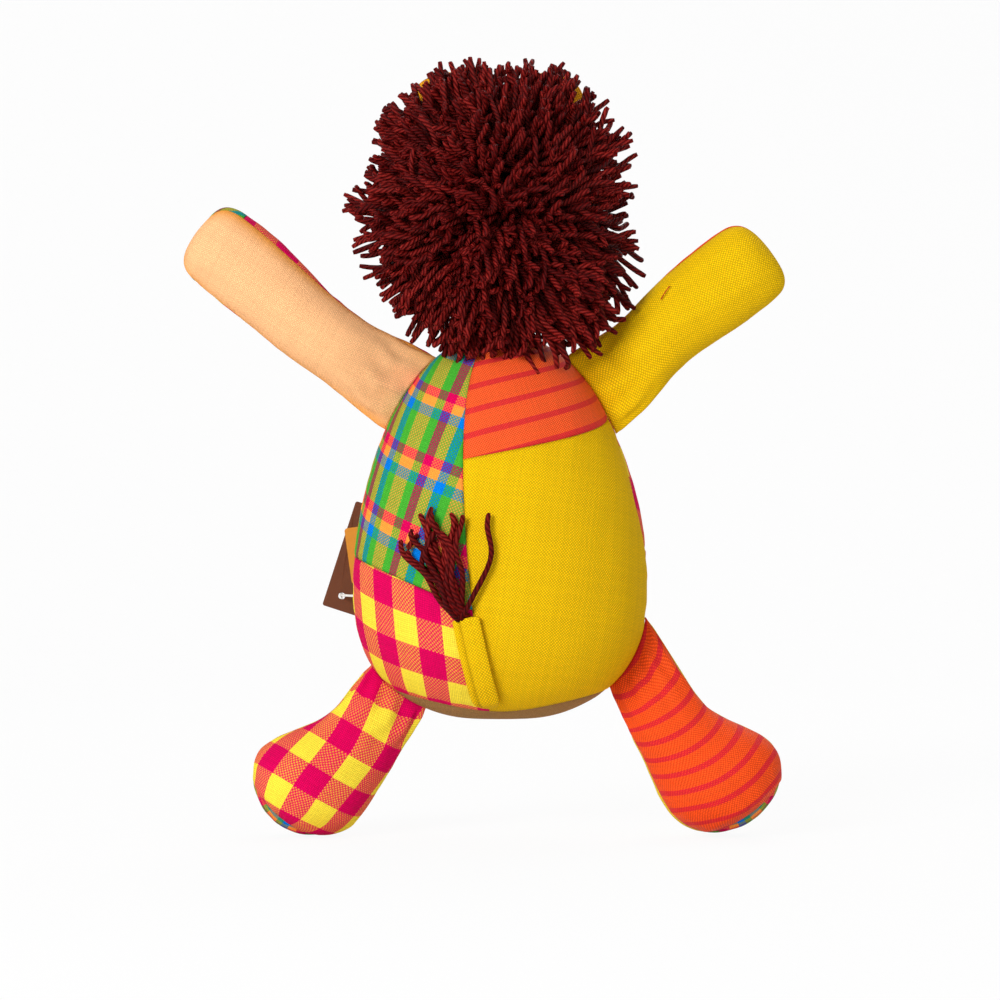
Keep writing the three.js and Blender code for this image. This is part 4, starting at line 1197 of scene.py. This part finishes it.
class LION_OT_mane(bpy.types.Operator):
    """Tie the pom-pom mane strand by strand, in four quarters"""

    bl_idname = "lion.mane"
    bl_label = "Mane"

    def execute(self, context):
        chance = random.Random(MANE_SEED)
        yarn = yarn_material()
        template = strand_template(5, 11)
        quarters = [bmesh.new() for _ in MANE_QUARTERS]
        tones = [strand_layers(bm) for bm in quarters]
        for k, (turn, angle) in enumerate(list(mane_starts(chance))):
            q = int(turn // (math.pi / 2))
            strand = mane_strand(chance, turn, angle, k % 5 == 0)
            add_strand(quarters[q], tones[q], template, *strand)
        bpy.data.meshes.remove(template)
        for name, bm in zip(MANE_QUARTERS, quarters):
            finish_piece(bm, "mane_yarn_" + name, yarn, "maroon_yarn", "head")
        foot = HEAD.y - HEAD_HALF.y - 1.8

        def winding(t):
            a = t * math.tau * 4
            across, up = 2.7 * math.cos(a), 2.7 * math.sin(a)
            return Vector((HEAD.x + across, mix(foot - 1, foot - 12, t), HEAD.z + up))

        tie = [(winding, steady(1.1), 0.4)]
        strand_piece("mane_tie", 8, 48, tie, yarn, "maroon_yarn", "head")
        return {"FINISHED"}


# Limbs


def soft_floor(z, floor):
    """A height that rounds off above the floor instead of passing through it."""
    over = (z - floor) / 0.8
    return z if over > 12 else floor + 0.8 * math.log1p(math.exp(over))


def within_torso(x, z):
    """Whether a place seen from the back lies inside the torso's outline."""
    edge = torso_point(90, seat_seam(90))
    low = edge.z * max(0, (x / edge.x - 0.25) / 0.75) ** 2
    return low + 0.6 < z < COLLAR_Z and x < TORSO_HALF_WIDTH * egg_share(z) + 0.1


class Limb:
    """An arm or a leg: a flat sewn root, then oval sections out to its end.

    Widths, depths, forwards and sags are stations along it: half sizes, and moves of its middle.
    """

    def __init__(self, kind, side, root_z, angle, reach, widths, depths, forwards, sags, tip=0):
        hand = "left" if side < 0 else "right"
        outward = torso_normal(90 * side, root_z)
        a = math.radians(angle)
        self.name, self.body = f"{kind}_{hand}_", f"{hand}_{kind}"
        self.side, self.reach, self.tip_round = side, reach, tip
        self.root = torso_point(90 * side, root_z, 0.6)
        self.axis = Vector((side * math.cos(a), 0, math.sin(a)))
        self.root_line = FRONT.cross(outward) * -side
        self.across = FRONT.cross(self.axis) * -side
        self.widths, self.depths, self.forwards, self.sags = widths, depths, forwards, sags
        self.gaps = [self.root_gap(k / 20 - 1) for k in range(41)]
        inner, outer = self.root - self.axis * 1.5, self.root + self.axis * 7
        self.bend = "torso", self.body, tuple(inner * MM), tuple(outer * MM)

    def root_gap(self, share):
        """How far along the limb a point of its flat root stands off the torso."""
        out = self.widths[0][1] * share + self.sags[0][1]
        point, gap = self.root + self.root_line * out, 0.0
        while gap < 16:
            at = point - self.axis * gap
            if within_torso(abs(at.x), at.z):
                break
            gap += 0.1
        return gap

    def rounding(self, s, power):
        """How a rounded tip draws in."""
        if not self.tip_round:
            return 1
        share = max(0, s - (self.reach - self.tip_round)) / self.tip_round
        return max(1 - share**power, 0) ** (1 / power)

    def half_width(self, s):
        turned_in = 0 if self.tip_round else 0.1 * max(0, 1 - (self.reach - s) / 8) ** 2
        return through(self.widths, s) * (1 - turned_in) * self.rounding(s, 3.4)

    def half_depth(self, s):
        return through(self.depths, s) * self.rounding(s, 2.3)

    def point(self, s, turn, inset=0.0, floor=FLOOR):
        out = math.sin(turn)
        across = self.root_line.lerp(self.across, ease(s / (0.4 * self.reach))).normalized()
        point = self.root + self.axis * mix(inset, self.reach - inset, s / self.reach)
        point += across * (through(self.sags, s) + max(self.half_width(s) - inset, 0.05) * out)
        point.y += through(self.forwards, s)
        point.y += max(self.half_depth(s) - inset, 0.05) * math.cos(turn)
        k = min(int((out + 1) * 20), 39)
        gap = mix(self.gaps[k], self.gaps[k + 1], (out + 1) * 20 - k)
        point -= self.axis * gap * (1 - ease(s / 18))
        point.z = soft_floor(point.z, floor + inset)
        return point

    def middle(self, s, along):
        """The middle of the section at s, put at a length along the limb."""
        point = self.root + self.axis * along + FRONT * through(self.forwards, s)
        return point + self.across * through(self.sags, s)

    def cut(self, s, turn, middle):
        """Lengths across and along the limb's cloth, from the middle turn of that cloth."""
        ring = self.half_width(min(s, self.reach - 6)) + self.half_depth(max(s, 20))
        return (turn - middle) * ring / 2, s


def make_arm(side, reach, angle, fuller, sags):
    stations = [(0, 18), (16, 16.2), (32, 14.8), (reach - 28, 17), (reach, 17)]
    widths = [(s, half + fuller) for s, half in stations]
    depths, forwards = [(0, 1.3), (32, 13), (reach, 13)], [(0, 0), (reach, 0)]
    return Limb("arm", side, ARM_ROOT_Z, angle, reach, widths, depths, forwards, sags, ARM_TIP)


def make_leg(side, root_z, angle, stations):
    """A leg from its root, shank, foot and sole: where each is, its half width and its sag."""
    places, halves, bow = zip(*stations)
    widths, depths, forwards, sags = (
        list(zip(places, values)) for values in (halves, LEG_DEPTHS, LEG_FORWARDS, bow)
    )
    return Limb("leg", side, root_z, angle, places[-1], widths, depths, forwards, sags)


def sole_rim(turn):
    """Where the sole is sewn in: at the edge in front, further in where the boot turns over."""
    return 1 - 0.31 * max(0, -math.cos(turn)) ** 0.8


def leg_end(leg, turn, share, inset):
    """A point on a leg's domed end, share being 1 at its edge and 0 in its middle."""
    edge = leg.point(leg.reach, turn, inset, floor=-1e9)
    point = leg.middle(leg.reach, leg.reach - inset).lerp(edge, share)
    point += leg.axis * SOLE_DOME * (1 - share * share)
    point.z = soft_floor(point.z, FLOOR)
    return point


def limb_panel(limb, part, low_edge, high_edge, cloth, span=None, lip=False, rim=1.2):
    """One cloth of a limb, over its whole reach or a span of it.

    low_edge(s) and high_edge(s) are the turns, in degrees, of its two long seams. A lip turns over
    the leg's end, and the rim is how wide the painted shade along the seams is.
    """
    groove, pucker = seam_sizes()
    cut_of, material, slot = cloth
    front = not part.startswith("back")
    start, end = span or (0, limb.reach)

    def place(u, v):
        over = max(0, v - 0.9) / 0.1 if lip else 0
        v = min(v / 0.9, 1) if lip else v
        if limb.tip_round and end == limb.reach:
            v = math.sin(v * math.pi / 2) ** 1.2
        s = start + (end - start) * v
        low, high = low_edge(s), high_edge(s)
        turn = math.radians(mix(low, high, u))
        if not front:
            turn = math.pi - turn
        wide = math.radians(high - low) * (limb.half_width(s) + limb.half_depth(s)) / 2
        past = SOLE_REACH * (1 - sole_rim(turn)) if lip else 0
        d_start = s - start if start > 0 else 99
        d_end = end - s if end < limb.reach or not limb.tip_round else 99
        edges = (wide * u, wide * (1 - u), d_start, d_end + past * (1 - over))
        near = max(bump(d, rim) for d in edges)
        drawn = groove * 0.7 * max(bump(d, 1.5) * 0.75 + bump(d, 4.5) * 0.25 for d in edges)
        waves = 0.0
        for k, d in enumerate(edges):
            along = s / 6 if k < 2 else math.degrees(turn) / 16
            waves += pucker * ripple((along, 5.3 * k + 9 * front, limb.side * 3), d, 6)
        sway = 4 * noise.noise(Vector((s / 14, limb.side * 5.0, 2)))
        gather = math.sin(turn * 10 + sway) * math.exp(-s / 10)
        waves += 1.6 * gather * ease(s / 5) * min(limb.half_depth(s) / 6, 1)
        base = limb.point(s, turn)
        soft = (0.6 * lump(base, 22, 5) + 0.25 * lump(base, 10, 6)) * (1 - near) * ease(s / 12)
        inset = drawn - waves - soft
        if over:
            point = leg_end(limb, turn, mix(1, sole_rim(turn), over), inset)
        else:
            point = limb.point(s, turn, inset)
        point.y += SEAM_GAP / 2 if front else -SEAM_GAP / 2
        return point, cut_of(limb.cut(s + past * over, turn, 0 if front else math.pi)), near

    bm = cloth_grid(44, 76, place, limb.root + limb.axis * limb.reach / 2)
    name = limb.name + part + "_panel"
    finish_piece(bm, name, material, slot, thick=sizes().cloth, bend=limb.bend)


def limb_fill(limb):
    """Fibre filling inside a limb's cloth."""

    def place(d):
        s = mix(2.5, limb.reach - 3, (1 - d.z) / 2)
        turn = math.atan2(d.x, d.y)
        end = math.sqrt(max(1 - d.z**8, 0))
        skin = limb.point(s, turn, min(2.6, limb.half_depth(s) * 0.6))
        soft = 1 - 0.03 * (1 + lump(skin, 8, 7))
        return limb.middle(s, s).lerp(skin, end * soft), (math.degrees(turn), s), 0

    bm = ball(36, 40, place)
    name = limb.name + "stuffing"
    finish_piece(bm, name, fibre_material(), "stuffing", bend=limb.bend)


def loose_thread(arm):
    """A loose end of red thread on the back of an arm."""

    def line(t):
        turn = math.pi - math.radians(mix(36, 43, t))
        return arm.point(mix(43, 49, t), turn, -0.8 - 0.3 * math.sin(3 * t))

    shown, dark = screen(205, 52, 30), screen(150, 30, 20)
    red = grained_material("red_thread", shown, dark, 900, 0.0001, 0.9, 0.1)
    name, strand = arm.name + "loose_thread", (line, steady(0.22), 0.5)
    strand_piece(name, 6, 10, [strand], red, "orange_cloth", arm.body, trim=True)


class LION_OT_arms(bpy.types.Operator):
    """Sew and stuff both arms"""

    bl_idname = "lion.arms"
    bl_label = "Arms"

    def execute(self, context):
        left_sags = [(0, -0.3), (40, -3.0), (75, -0.2), (105, 0.9)]
        right_sags = [(0, -1.2), (18, -1.6), (40, 0.8), (66, 0.2), (90, -0.4)]
        left, right = make_arm(-1, 105, 37, 0.0, left_sags), make_arm(1, 90, 39, 0.7, right_sags)
        peach = (plain_cut, peach_cloth(), "peach_cloth")
        low, paw = steady(-90.0), left.reach - ARM_PAW

        def left_high(s):
            return mix(90, 118, ease((s - 25) / 50))

        def right_high(s):
            return mix(90, 103, ease((s - 35) / 30))

        def sleeve_cut(cut):
            return turned(cut, 3, (4.5, 2.0))

        # A wide rim spreads the painted amber shade along the peach's seams.
        limb_panel(left, "back", low, lambda s: 180 - left_high(s), peach, rim=4.5)
        sleeve = (0, paw - SEAM_GAP / 2)
        limb_panel(left, "front", low, left_high, gingham(sleeve_cut), sleeve)
        limb_panel(left, "paw", low, left_high, plaid(), (paw + SEAM_GAP / 2, left.reach))
        limb_fill(left)
        limb_panel(right, "back", low, lambda s: 180 - right_high(s), plain("mustard"))
        limb_panel(right, "front", low, right_high, plain("orange"))
        limb_fill(right)
        loose_thread(right)
        return {"FINISHED"}


def sole(leg):
    groove, _ = seam_sizes()

    def place(u, v):
        x, y, share = disc(u, v)
        turn = math.atan2(x, y)
        d = (1 - share) * SOLE_REACH
        soft = 0.3 * lump((x * 20, y * 20, leg.side * 9), 7, 8) * (1 - bump(d, 2))
        inset = groove * 0.6 * bump(d, 1.8) - soft
        point = leg_end(leg, turn, share * sole_rim(turn), inset)
        return point, (x * 20 + 4, y * 20 + 36), bump(d, 1.2)

    bm = cloth_grid(40, 40, place, leg.root)
    cloth, thick = plaid_cloth(), sizes().cloth
    finish_piece(bm, leg.name + "sole", cloth, "plaid_cloth", leg.body, thick)


class LION_OT_legs(bpy.types.Operator):
    """Sew and stuff both legs and their soles"""

    bl_idname = "lion.legs"
    bl_label = "Legs"

    def execute(self, context):
        left_stations = [(0, 14.2, -0.8), (24, 17, -2.8), (50, 24, 1.2), (63, 20, 2.2)]
        right_stations = [(0, 15.6, 1.4), (30, 16.2, -1.6), (57, 24.6, 2.6), (72, 21.4, 3.6)]
        left = make_leg(-1, 11.4, -50, left_stations)
        right = make_leg(1, 22.4, -55, right_stations)

        def inner_front(s):
            return mix(-90, -101, ease((s - 8) / 30))

        def inner_back(s):
            return -180 - inner_front(s)

        def boot_cut(cut):
            return off_thread(cut, (-9.5, 4.2), (9.2, -1.7), (2.2, 10.55))

        def leg_stripe_cut(cut):
            across = 19 * math.sin(max(min(cut[0] / 19, 1.5), -1.5))
            return cut[0], (cut[1] + 0.12 * across + 0.016 * across * across) * 0.83

        boot, low, high = gingham(boot_cut), steady(-90.0), steady(90.0)
        pitch = sizes().leg_stripe / MM
        # The last value is the share of painted sheen on the leg's stripes.
        stripes = striped(leg_stripe_cut, "striped_leg_cotton", pitch, 1.9, 0.02)
        for leg, back, front, back_cloth, front_cloth in (
            (left, low, low, boot, boot),
            (right, inner_back, inner_front, stripes, plain("yellow")),
        ):
            limb_panel(leg, "back", back, high, back_cloth, lip=True)
            limb_panel(leg, "front", front, high, front_cloth)
            sole(leg)
            limb_fill(leg)
        return {"FINISHED"}


class LION_OT_stuffing(bpy.types.Operator):
    """Stuff the torso and the head with fibre"""

    bl_idname = "lion.stuffing"
    bl_label = "Torso and head stuffing"

    def execute(self, context):
        low, high = 9, 148

        def torso(d):
            turn = math.degrees(math.atan2(d.x, -d.y))
            z = mix(low, high, (d.z + 1) / 2)
            share = math.sqrt(max(1 - abs(d.z) ** 14, 0))
            skin = torso_point(turn, z, -4.4 - 0.4 * lump(d * 60, 9, 9))
            point = Vector((skin.x * share, skin.y * share, min(max(skin.z, low), high)))
            return point, (turn, z), 0

        def head(d):
            inset = 3.2 + 0.4 * lump(d * 60, 9, 10)
            point = HEAD + Vector(way * (half - inset) for way, half in zip(d, HEAD_HALF))
            return clear_of_neck(point, 3.2), (d.x * 40, d.z * 40), 0

        for body, place in (("torso", torso), ("head", head)):
            bm = ball(56, 40, place)
            finish_piece(bm, body + "_stuffing", fibre_material(), "stuffing", body)
        return {"FINISHED"}


# Tail and tag


def tail_place(t, proud):
    return torso_point(mix(*TAIL_TURN, t), mix(*TAIL_Z, t), proud)


def on_back(x, z, proud):
    """A point on the torso's back at a width and a height."""
    share = max(min(x / (TORSO_HALF_WIDTH * egg_share(z)), 1), -1)
    return torso_point(math.degrees(math.asin(share)), z, proud)


# Ends of the tuft's strands: across, up and off the torso
TUFT_ENDS = [
    (-37, 71, 3.5), (-33, 73, 2.4), (-30, 76, 3.2), (-29, 82, 2.5), (-27, 80, 4.0),
    (-25, 84, 3.0), (-23, 82, 4.4), (-22, 79, 2.4), (-20, 81, 3.6), (-18, 80, 2.6),
    (-16, 80, 3.8), (-31, 68, 4.6), (-25, 74, 5.2), (-20, 75, 4.8), (-3.2, 82, 3.0),
]
TUFT_X = -13.6


def tuft_strand(chance, x, z, proud):
    root = tail_place(1, TAIL_LIFT + chance.uniform(-0.5, 0.5))
    root += Vector((chance.uniform(-3.2, 3), 0, -1.0))
    pull = mix(TUFT_X, x, 0.45) + chance.uniform(-3, 3)
    near = on_back(pull, chance.uniform(46, 54), proud + 1.5)
    pull = mix(TUFT_X, x, 0.9) + chance.uniform(-4, 4)
    far = on_back(pull, mix(50, z, 0.6), proud + 0.8)
    line = bent(root, near, far, on_back(x, z, proud))
    curl, phase = Vector((chance.uniform(1.2, 3.2), 0, 0.8)), chance.uniform(0, math.tau)

    def path(t):
        return line(t) + curl * (t * math.sin(10 * t + phase))

    def radius(t):
        return 1.1 - 0.5 * max(0, (t - 0.96) / 0.04) ** 2

    return path, radius, chance.random()


class LION_OT_tail(bpy.types.Operator):
    """Sew the tail's tube and knot its yarn tuft"""

    bl_idname = "lion.tail"
    bl_label = "Tail"

    def execute(self, context):
        def tube(d):
            t = (d.z + 1) / 2
            end = math.sqrt(max(1 - abs(d.z) ** (60 if d.z > 0 else 10), 0))
            normal = torso_normal(mix(*TAIL_TURN, t), mix(*TAIL_Z, t))
            step = [tail_place(min(max(t + d_t, 0), 1), TAIL_LIFT) for d_t in (-0.01, 0.01)]
            across = (step[1] - step[0]).normalized().cross(normal).normalized()
            flat = round_way(d)
            back = flat.y > 0
            fold = 1.2 * bump(flat.x + 0.5, 0.1) if back else 0
            waves = 0.25 * noise.noise(Vector((t * 7, flat.x * 2, 3)))
            point = tail_place(t, mix(0, TAIL_LIFT, ease(t / 0.14)))
            point += across * TAIL_HALF_WIDTH * flat.x * end
            point += normal * (TAIL_HALF_DEPTH * flat.y - (fold - waves) * max(flat.y, 0)) * end
            # Painted shade: a dark line along the fold of the back seam.
            seam = 5 * bump(flat.x + 0.5, 0.06) if back else 0
            return point, (flat.x * TAIL_HALF_WIDTH, t * 38), seam

        inner, outer = tail_place(-0.04, 0) * MM, tail_place(0.16, TAIL_LIFT) * MM
        bend = ("torso", "tail", tuple(inner), tuple(outer))
        bm, mustard = ball(40, 40, tube), plain_cloth("mustard")
        finish_piece(bm, "tail_tube", mustard, "mustard_cloth", bend=bend)
        chance = random.Random(TUFT_SEED)
        strands = [tuft_strand(chance, *end) for end in TUFT_ENDS]
        yarn = yarn_material("maroon_tuft_wool", 0.8)
        strand_piece("tail_tuft", 8, 18, strands, yarn, "maroon_yarn", "tail")
        return {"FINISHED"}


def card_mesh(size, corner, hole=None):
    """A flat card with rounded corners, and a punched hole where one is given."""
    bm = bmesh.new()
    bmesh.ops.create_grid(bm, x_segments=1, y_segments=1, size=0.5)
    for v in bm.verts:
        v.co = Vector(((v.co.x + 0.5) * size[0], 0, (v.co.y + 0.5) * size[1]))
    bmesh.ops.bevel(
        bm, geom=bm.verts[:], offset=corner, affect="VERTICES", segments=5, profile=0.5,
        offset_type="OFFSET", material=-1,
    )
    if hole:
        across, up, radius = hole
        bmesh.ops.delete(bm, geom=bm.faces[:], context="FACES_ONLY")
        turn = Matrix.Translation((across, 0, up)) @ Matrix.Rotation(math.pi / 2, 4, "X")
        bmesh.ops.create_circle(bm, segments=20, radius=radius, matrix=turn)
        bmesh.ops.bridge_loops(bm, edges=bm.edges[:])
        long_edges = [e for e in bm.edges if e.calc_length() > 12]
        bmesh.ops.subdivide_edges(bm, edges=long_edges, cuts=6, use_grid_fill=False)
    return bm


def stand_card(bm, corner, tilt, bow):
    """Stands a card up at its corner, tilted and bowed, with its back away from the torso."""
    place = Matrix.Translation(corner) @ Matrix.Rotation(math.radians(tilt), 4, "Y")
    cut = bm.loops.layers.uv.new("fabric")
    for face in bm.faces:
        for loop in face.loops:
            loop[cut].uv = (loop.vert.co.x, loop.vert.co.z)
    for v in bm.verts:
        v.co.y -= bow * (v.co.z / CARD[1]) ** 2
        v.co = (place @ v.co) * MM
    face_out(bm, (-60, 90, 60))


class LION_OT_tag(bpy.types.Operator):
    """Hang the two bare cards on their plastic tie"""

    bl_idname = "lion.tag"
    bl_label = "Swing tag"

    def execute(self, context):
        c = colours()
        brown, orange = (
            grained_material("card_" + name, shown, shade(shown, dark), 500, 0.0001, 0.7)
            for name, shown, dark in (("brown", c.brown_card, 0.6), ("orange", c.orange_card, 0.7))
        )
        shown, dark = screen(236, 234, 228), screen(205, 203, 198)
        plastic = grained_material("white_plastic", shown, dark, 200, 0.00002, 0.35, 0.5)
        bm = card_mesh(CARD, 0.9, (6.5, 6, 1.4))
        stand_card(bm, TAG_CORNER, TAG_TILT, 0.8)
        finish_piece(bm, "tag_card", brown, "brown_card", "tag", 0.6 * MM)
        on_card = Matrix.Rotation(math.radians(TAG_TILT), 3, "Y") @ Vector((9, 0, 12))
        bm = card_mesh(SMALL_CARD, 1.2)
        stand_card(bm, TAG_CORNER + on_card - FRONT * 0.95, -8, 0)
        finish_piece(bm, "tag_small_card", orange, "orange_card", "tag", 0.5 * MM)
        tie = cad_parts["tag_fastener"]
        tie.data.materials.clear()
        tie.data.materials.append(plastic)
        return {"FINISHED"}


# Stage


def paper_material():
    """White paper that looks white whatever light falls on it."""
    material = bpy.data.materials.new("white_paper")
    material.use_nodes = True
    material.node_tree.nodes.clear()
    t = Tree(material.node_tree)
    paper = t.add("BsdfDiffuse", Color=(0.9, 0.9, 0.9)).outputs[0]
    glow = t.add("Emission", Color=(1, 1, 1), Strength=1.0).outputs[0]
    shown = t.add("MixShader", i0=t.times(t.seen(), 0.92), i1=paper, i2=glow).outputs[0]
    t.add("OutputMaterial", i0=shown)
    return material


class LION_OT_stage(bpy.types.Operator):
    """Set the white floor, the soft lights and the camera"""

    bl_idname = "lion.stage"
    bl_label = "Stage"

    def execute(self, context):
        scene = context.scene
        scene.view_settings.view_transform = "Standard"
        bm = bmesh.new()
        bmesh.ops.create_grid(bm, x_segments=1, y_segments=48, size=0.5)
        for v in bm.verts:
            flat, curved, straight = (v.co.y + 0.5) * 2, v.co.y * 4, v.co.y * 4 - 1
            a = min(max(curved, 0), 1) * math.pi / 2
            back = mix(FLOOR_NEAR, FLOOR_FAR, min(flat, 1)) + FLOOR_BEND * math.sin(a)
            up = FLOOR_BEND * (1 - math.cos(a)) + max(0, straight) * WALL_HEIGHT
            v.co = Vector((v.co.x * FLOOR_WIDTH, back, STAND_Z * MM + up))
        for face in bm.faces:
            face.smooth = True
        add_object(bm, "floor", paper_material())

        world = bpy.data.worlds.new("studio")
        scene.world = world
        world.use_nodes = True
        sky = world.node_tree.nodes["Background"].inputs
        t = Tree(world.node_tree)
        t.put(sky["Color"], (1, 1, 1))
        t.put(sky["Strength"], t.fit(t.seen(), 1 - AMBIENT, AMBIENT))
        for name, place, size, power in (
            ("key", (-1.0, -1.75, 0.7), 0.9, 36),
            ("fill", (1.2, -1.4, 0.3), 1.4, 3),
            ("rim", (0.3, 1.0, 1.2), 1.0, 6),
        ):
            data = bpy.data.lights.new(name, "AREA")
            data.shape, data.size, data.energy = "DISK", size, power
            lamp = bpy.data.objects.new(name, data)
            lamp.location = place
            aim = Vector((0, 0, 0.1)) - Vector(place)
            lamp.rotation_euler = aim.to_track_quat("-Z", "Y").to_euler()
            scene.collection.objects.link(lamp)

        data = bpy.data.cameras.new("camera")
        data.lens, data.sensor_width = LENS, SENSOR
        camera = bpy.data.objects.new("camera", data)
        camera.location = (0, -VIEW_WIDTH * LENS / SENSOR, VIEW_Z)
        camera.rotation_euler = (math.pi / 2, 0, 0)
        scene.collection.objects.link(camera)
        scene.camera = camera
        return {"FINISHED"}


class LION_PT_pieces(bpy.types.Panel):
    """The lion's pieces, in the order in which they are made"""

    bl_idname = "LION_PT_pieces"
    bl_label = "Patchwork lion"
    bl_space_type = "VIEW_3D"
    bl_region_type = "UI"
    bl_category = "Lion"

    def draw(self, context):
        column = self.layout.column()
        for operator in PIECES:
            column.operator(operator.bl_idname)
        for group in (context.scene.lion_sizes, context.scene.lion_colours):
            for key in group.__annotations__:
                column.prop(group, key)


PIECES = (
    LION_OT_stage,
    LION_OT_stuffing,
    LION_OT_torso,
    LION_OT_seat,
    LION_OT_head,
    LION_OT_ears,
    LION_OT_mane,
    LION_OT_arms,
    LION_OT_legs,
    LION_OT_tail,
    LION_OT_tag,
)
CLASSES = (LionSizes, LionColours, *PIECES, LION_PT_pieces)


def register():
    for kind in CLASSES:
        bpy.utils.register_class(kind)
    bpy.types.Scene.lion_sizes = PointerProperty(type=LionSizes)
    bpy.types.Scene.lion_colours = PointerProperty(type=LionColours)


def unregister():
    del bpy.types.Scene.lion_colours
    del bpy.types.Scene.lion_sizes
    for kind in reversed(CLASSES):
        bpy.utils.unregister_class(kind)


def main():
    register()
    bpy.ops.lion.stage()
    bpy.ops.lion.stuffing()
    bpy.ops.lion.torso()
    bpy.ops.lion.seat()
    bpy.ops.lion.head()
    bpy.ops.lion.ears()
    bpy.ops.lion.mane()
    bpy.ops.lion.arms()
    bpy.ops.lion.legs()
    bpy.ops.lion.tail()
    bpy.ops.lion.tag()


if __name__ == "__main__":
    main()
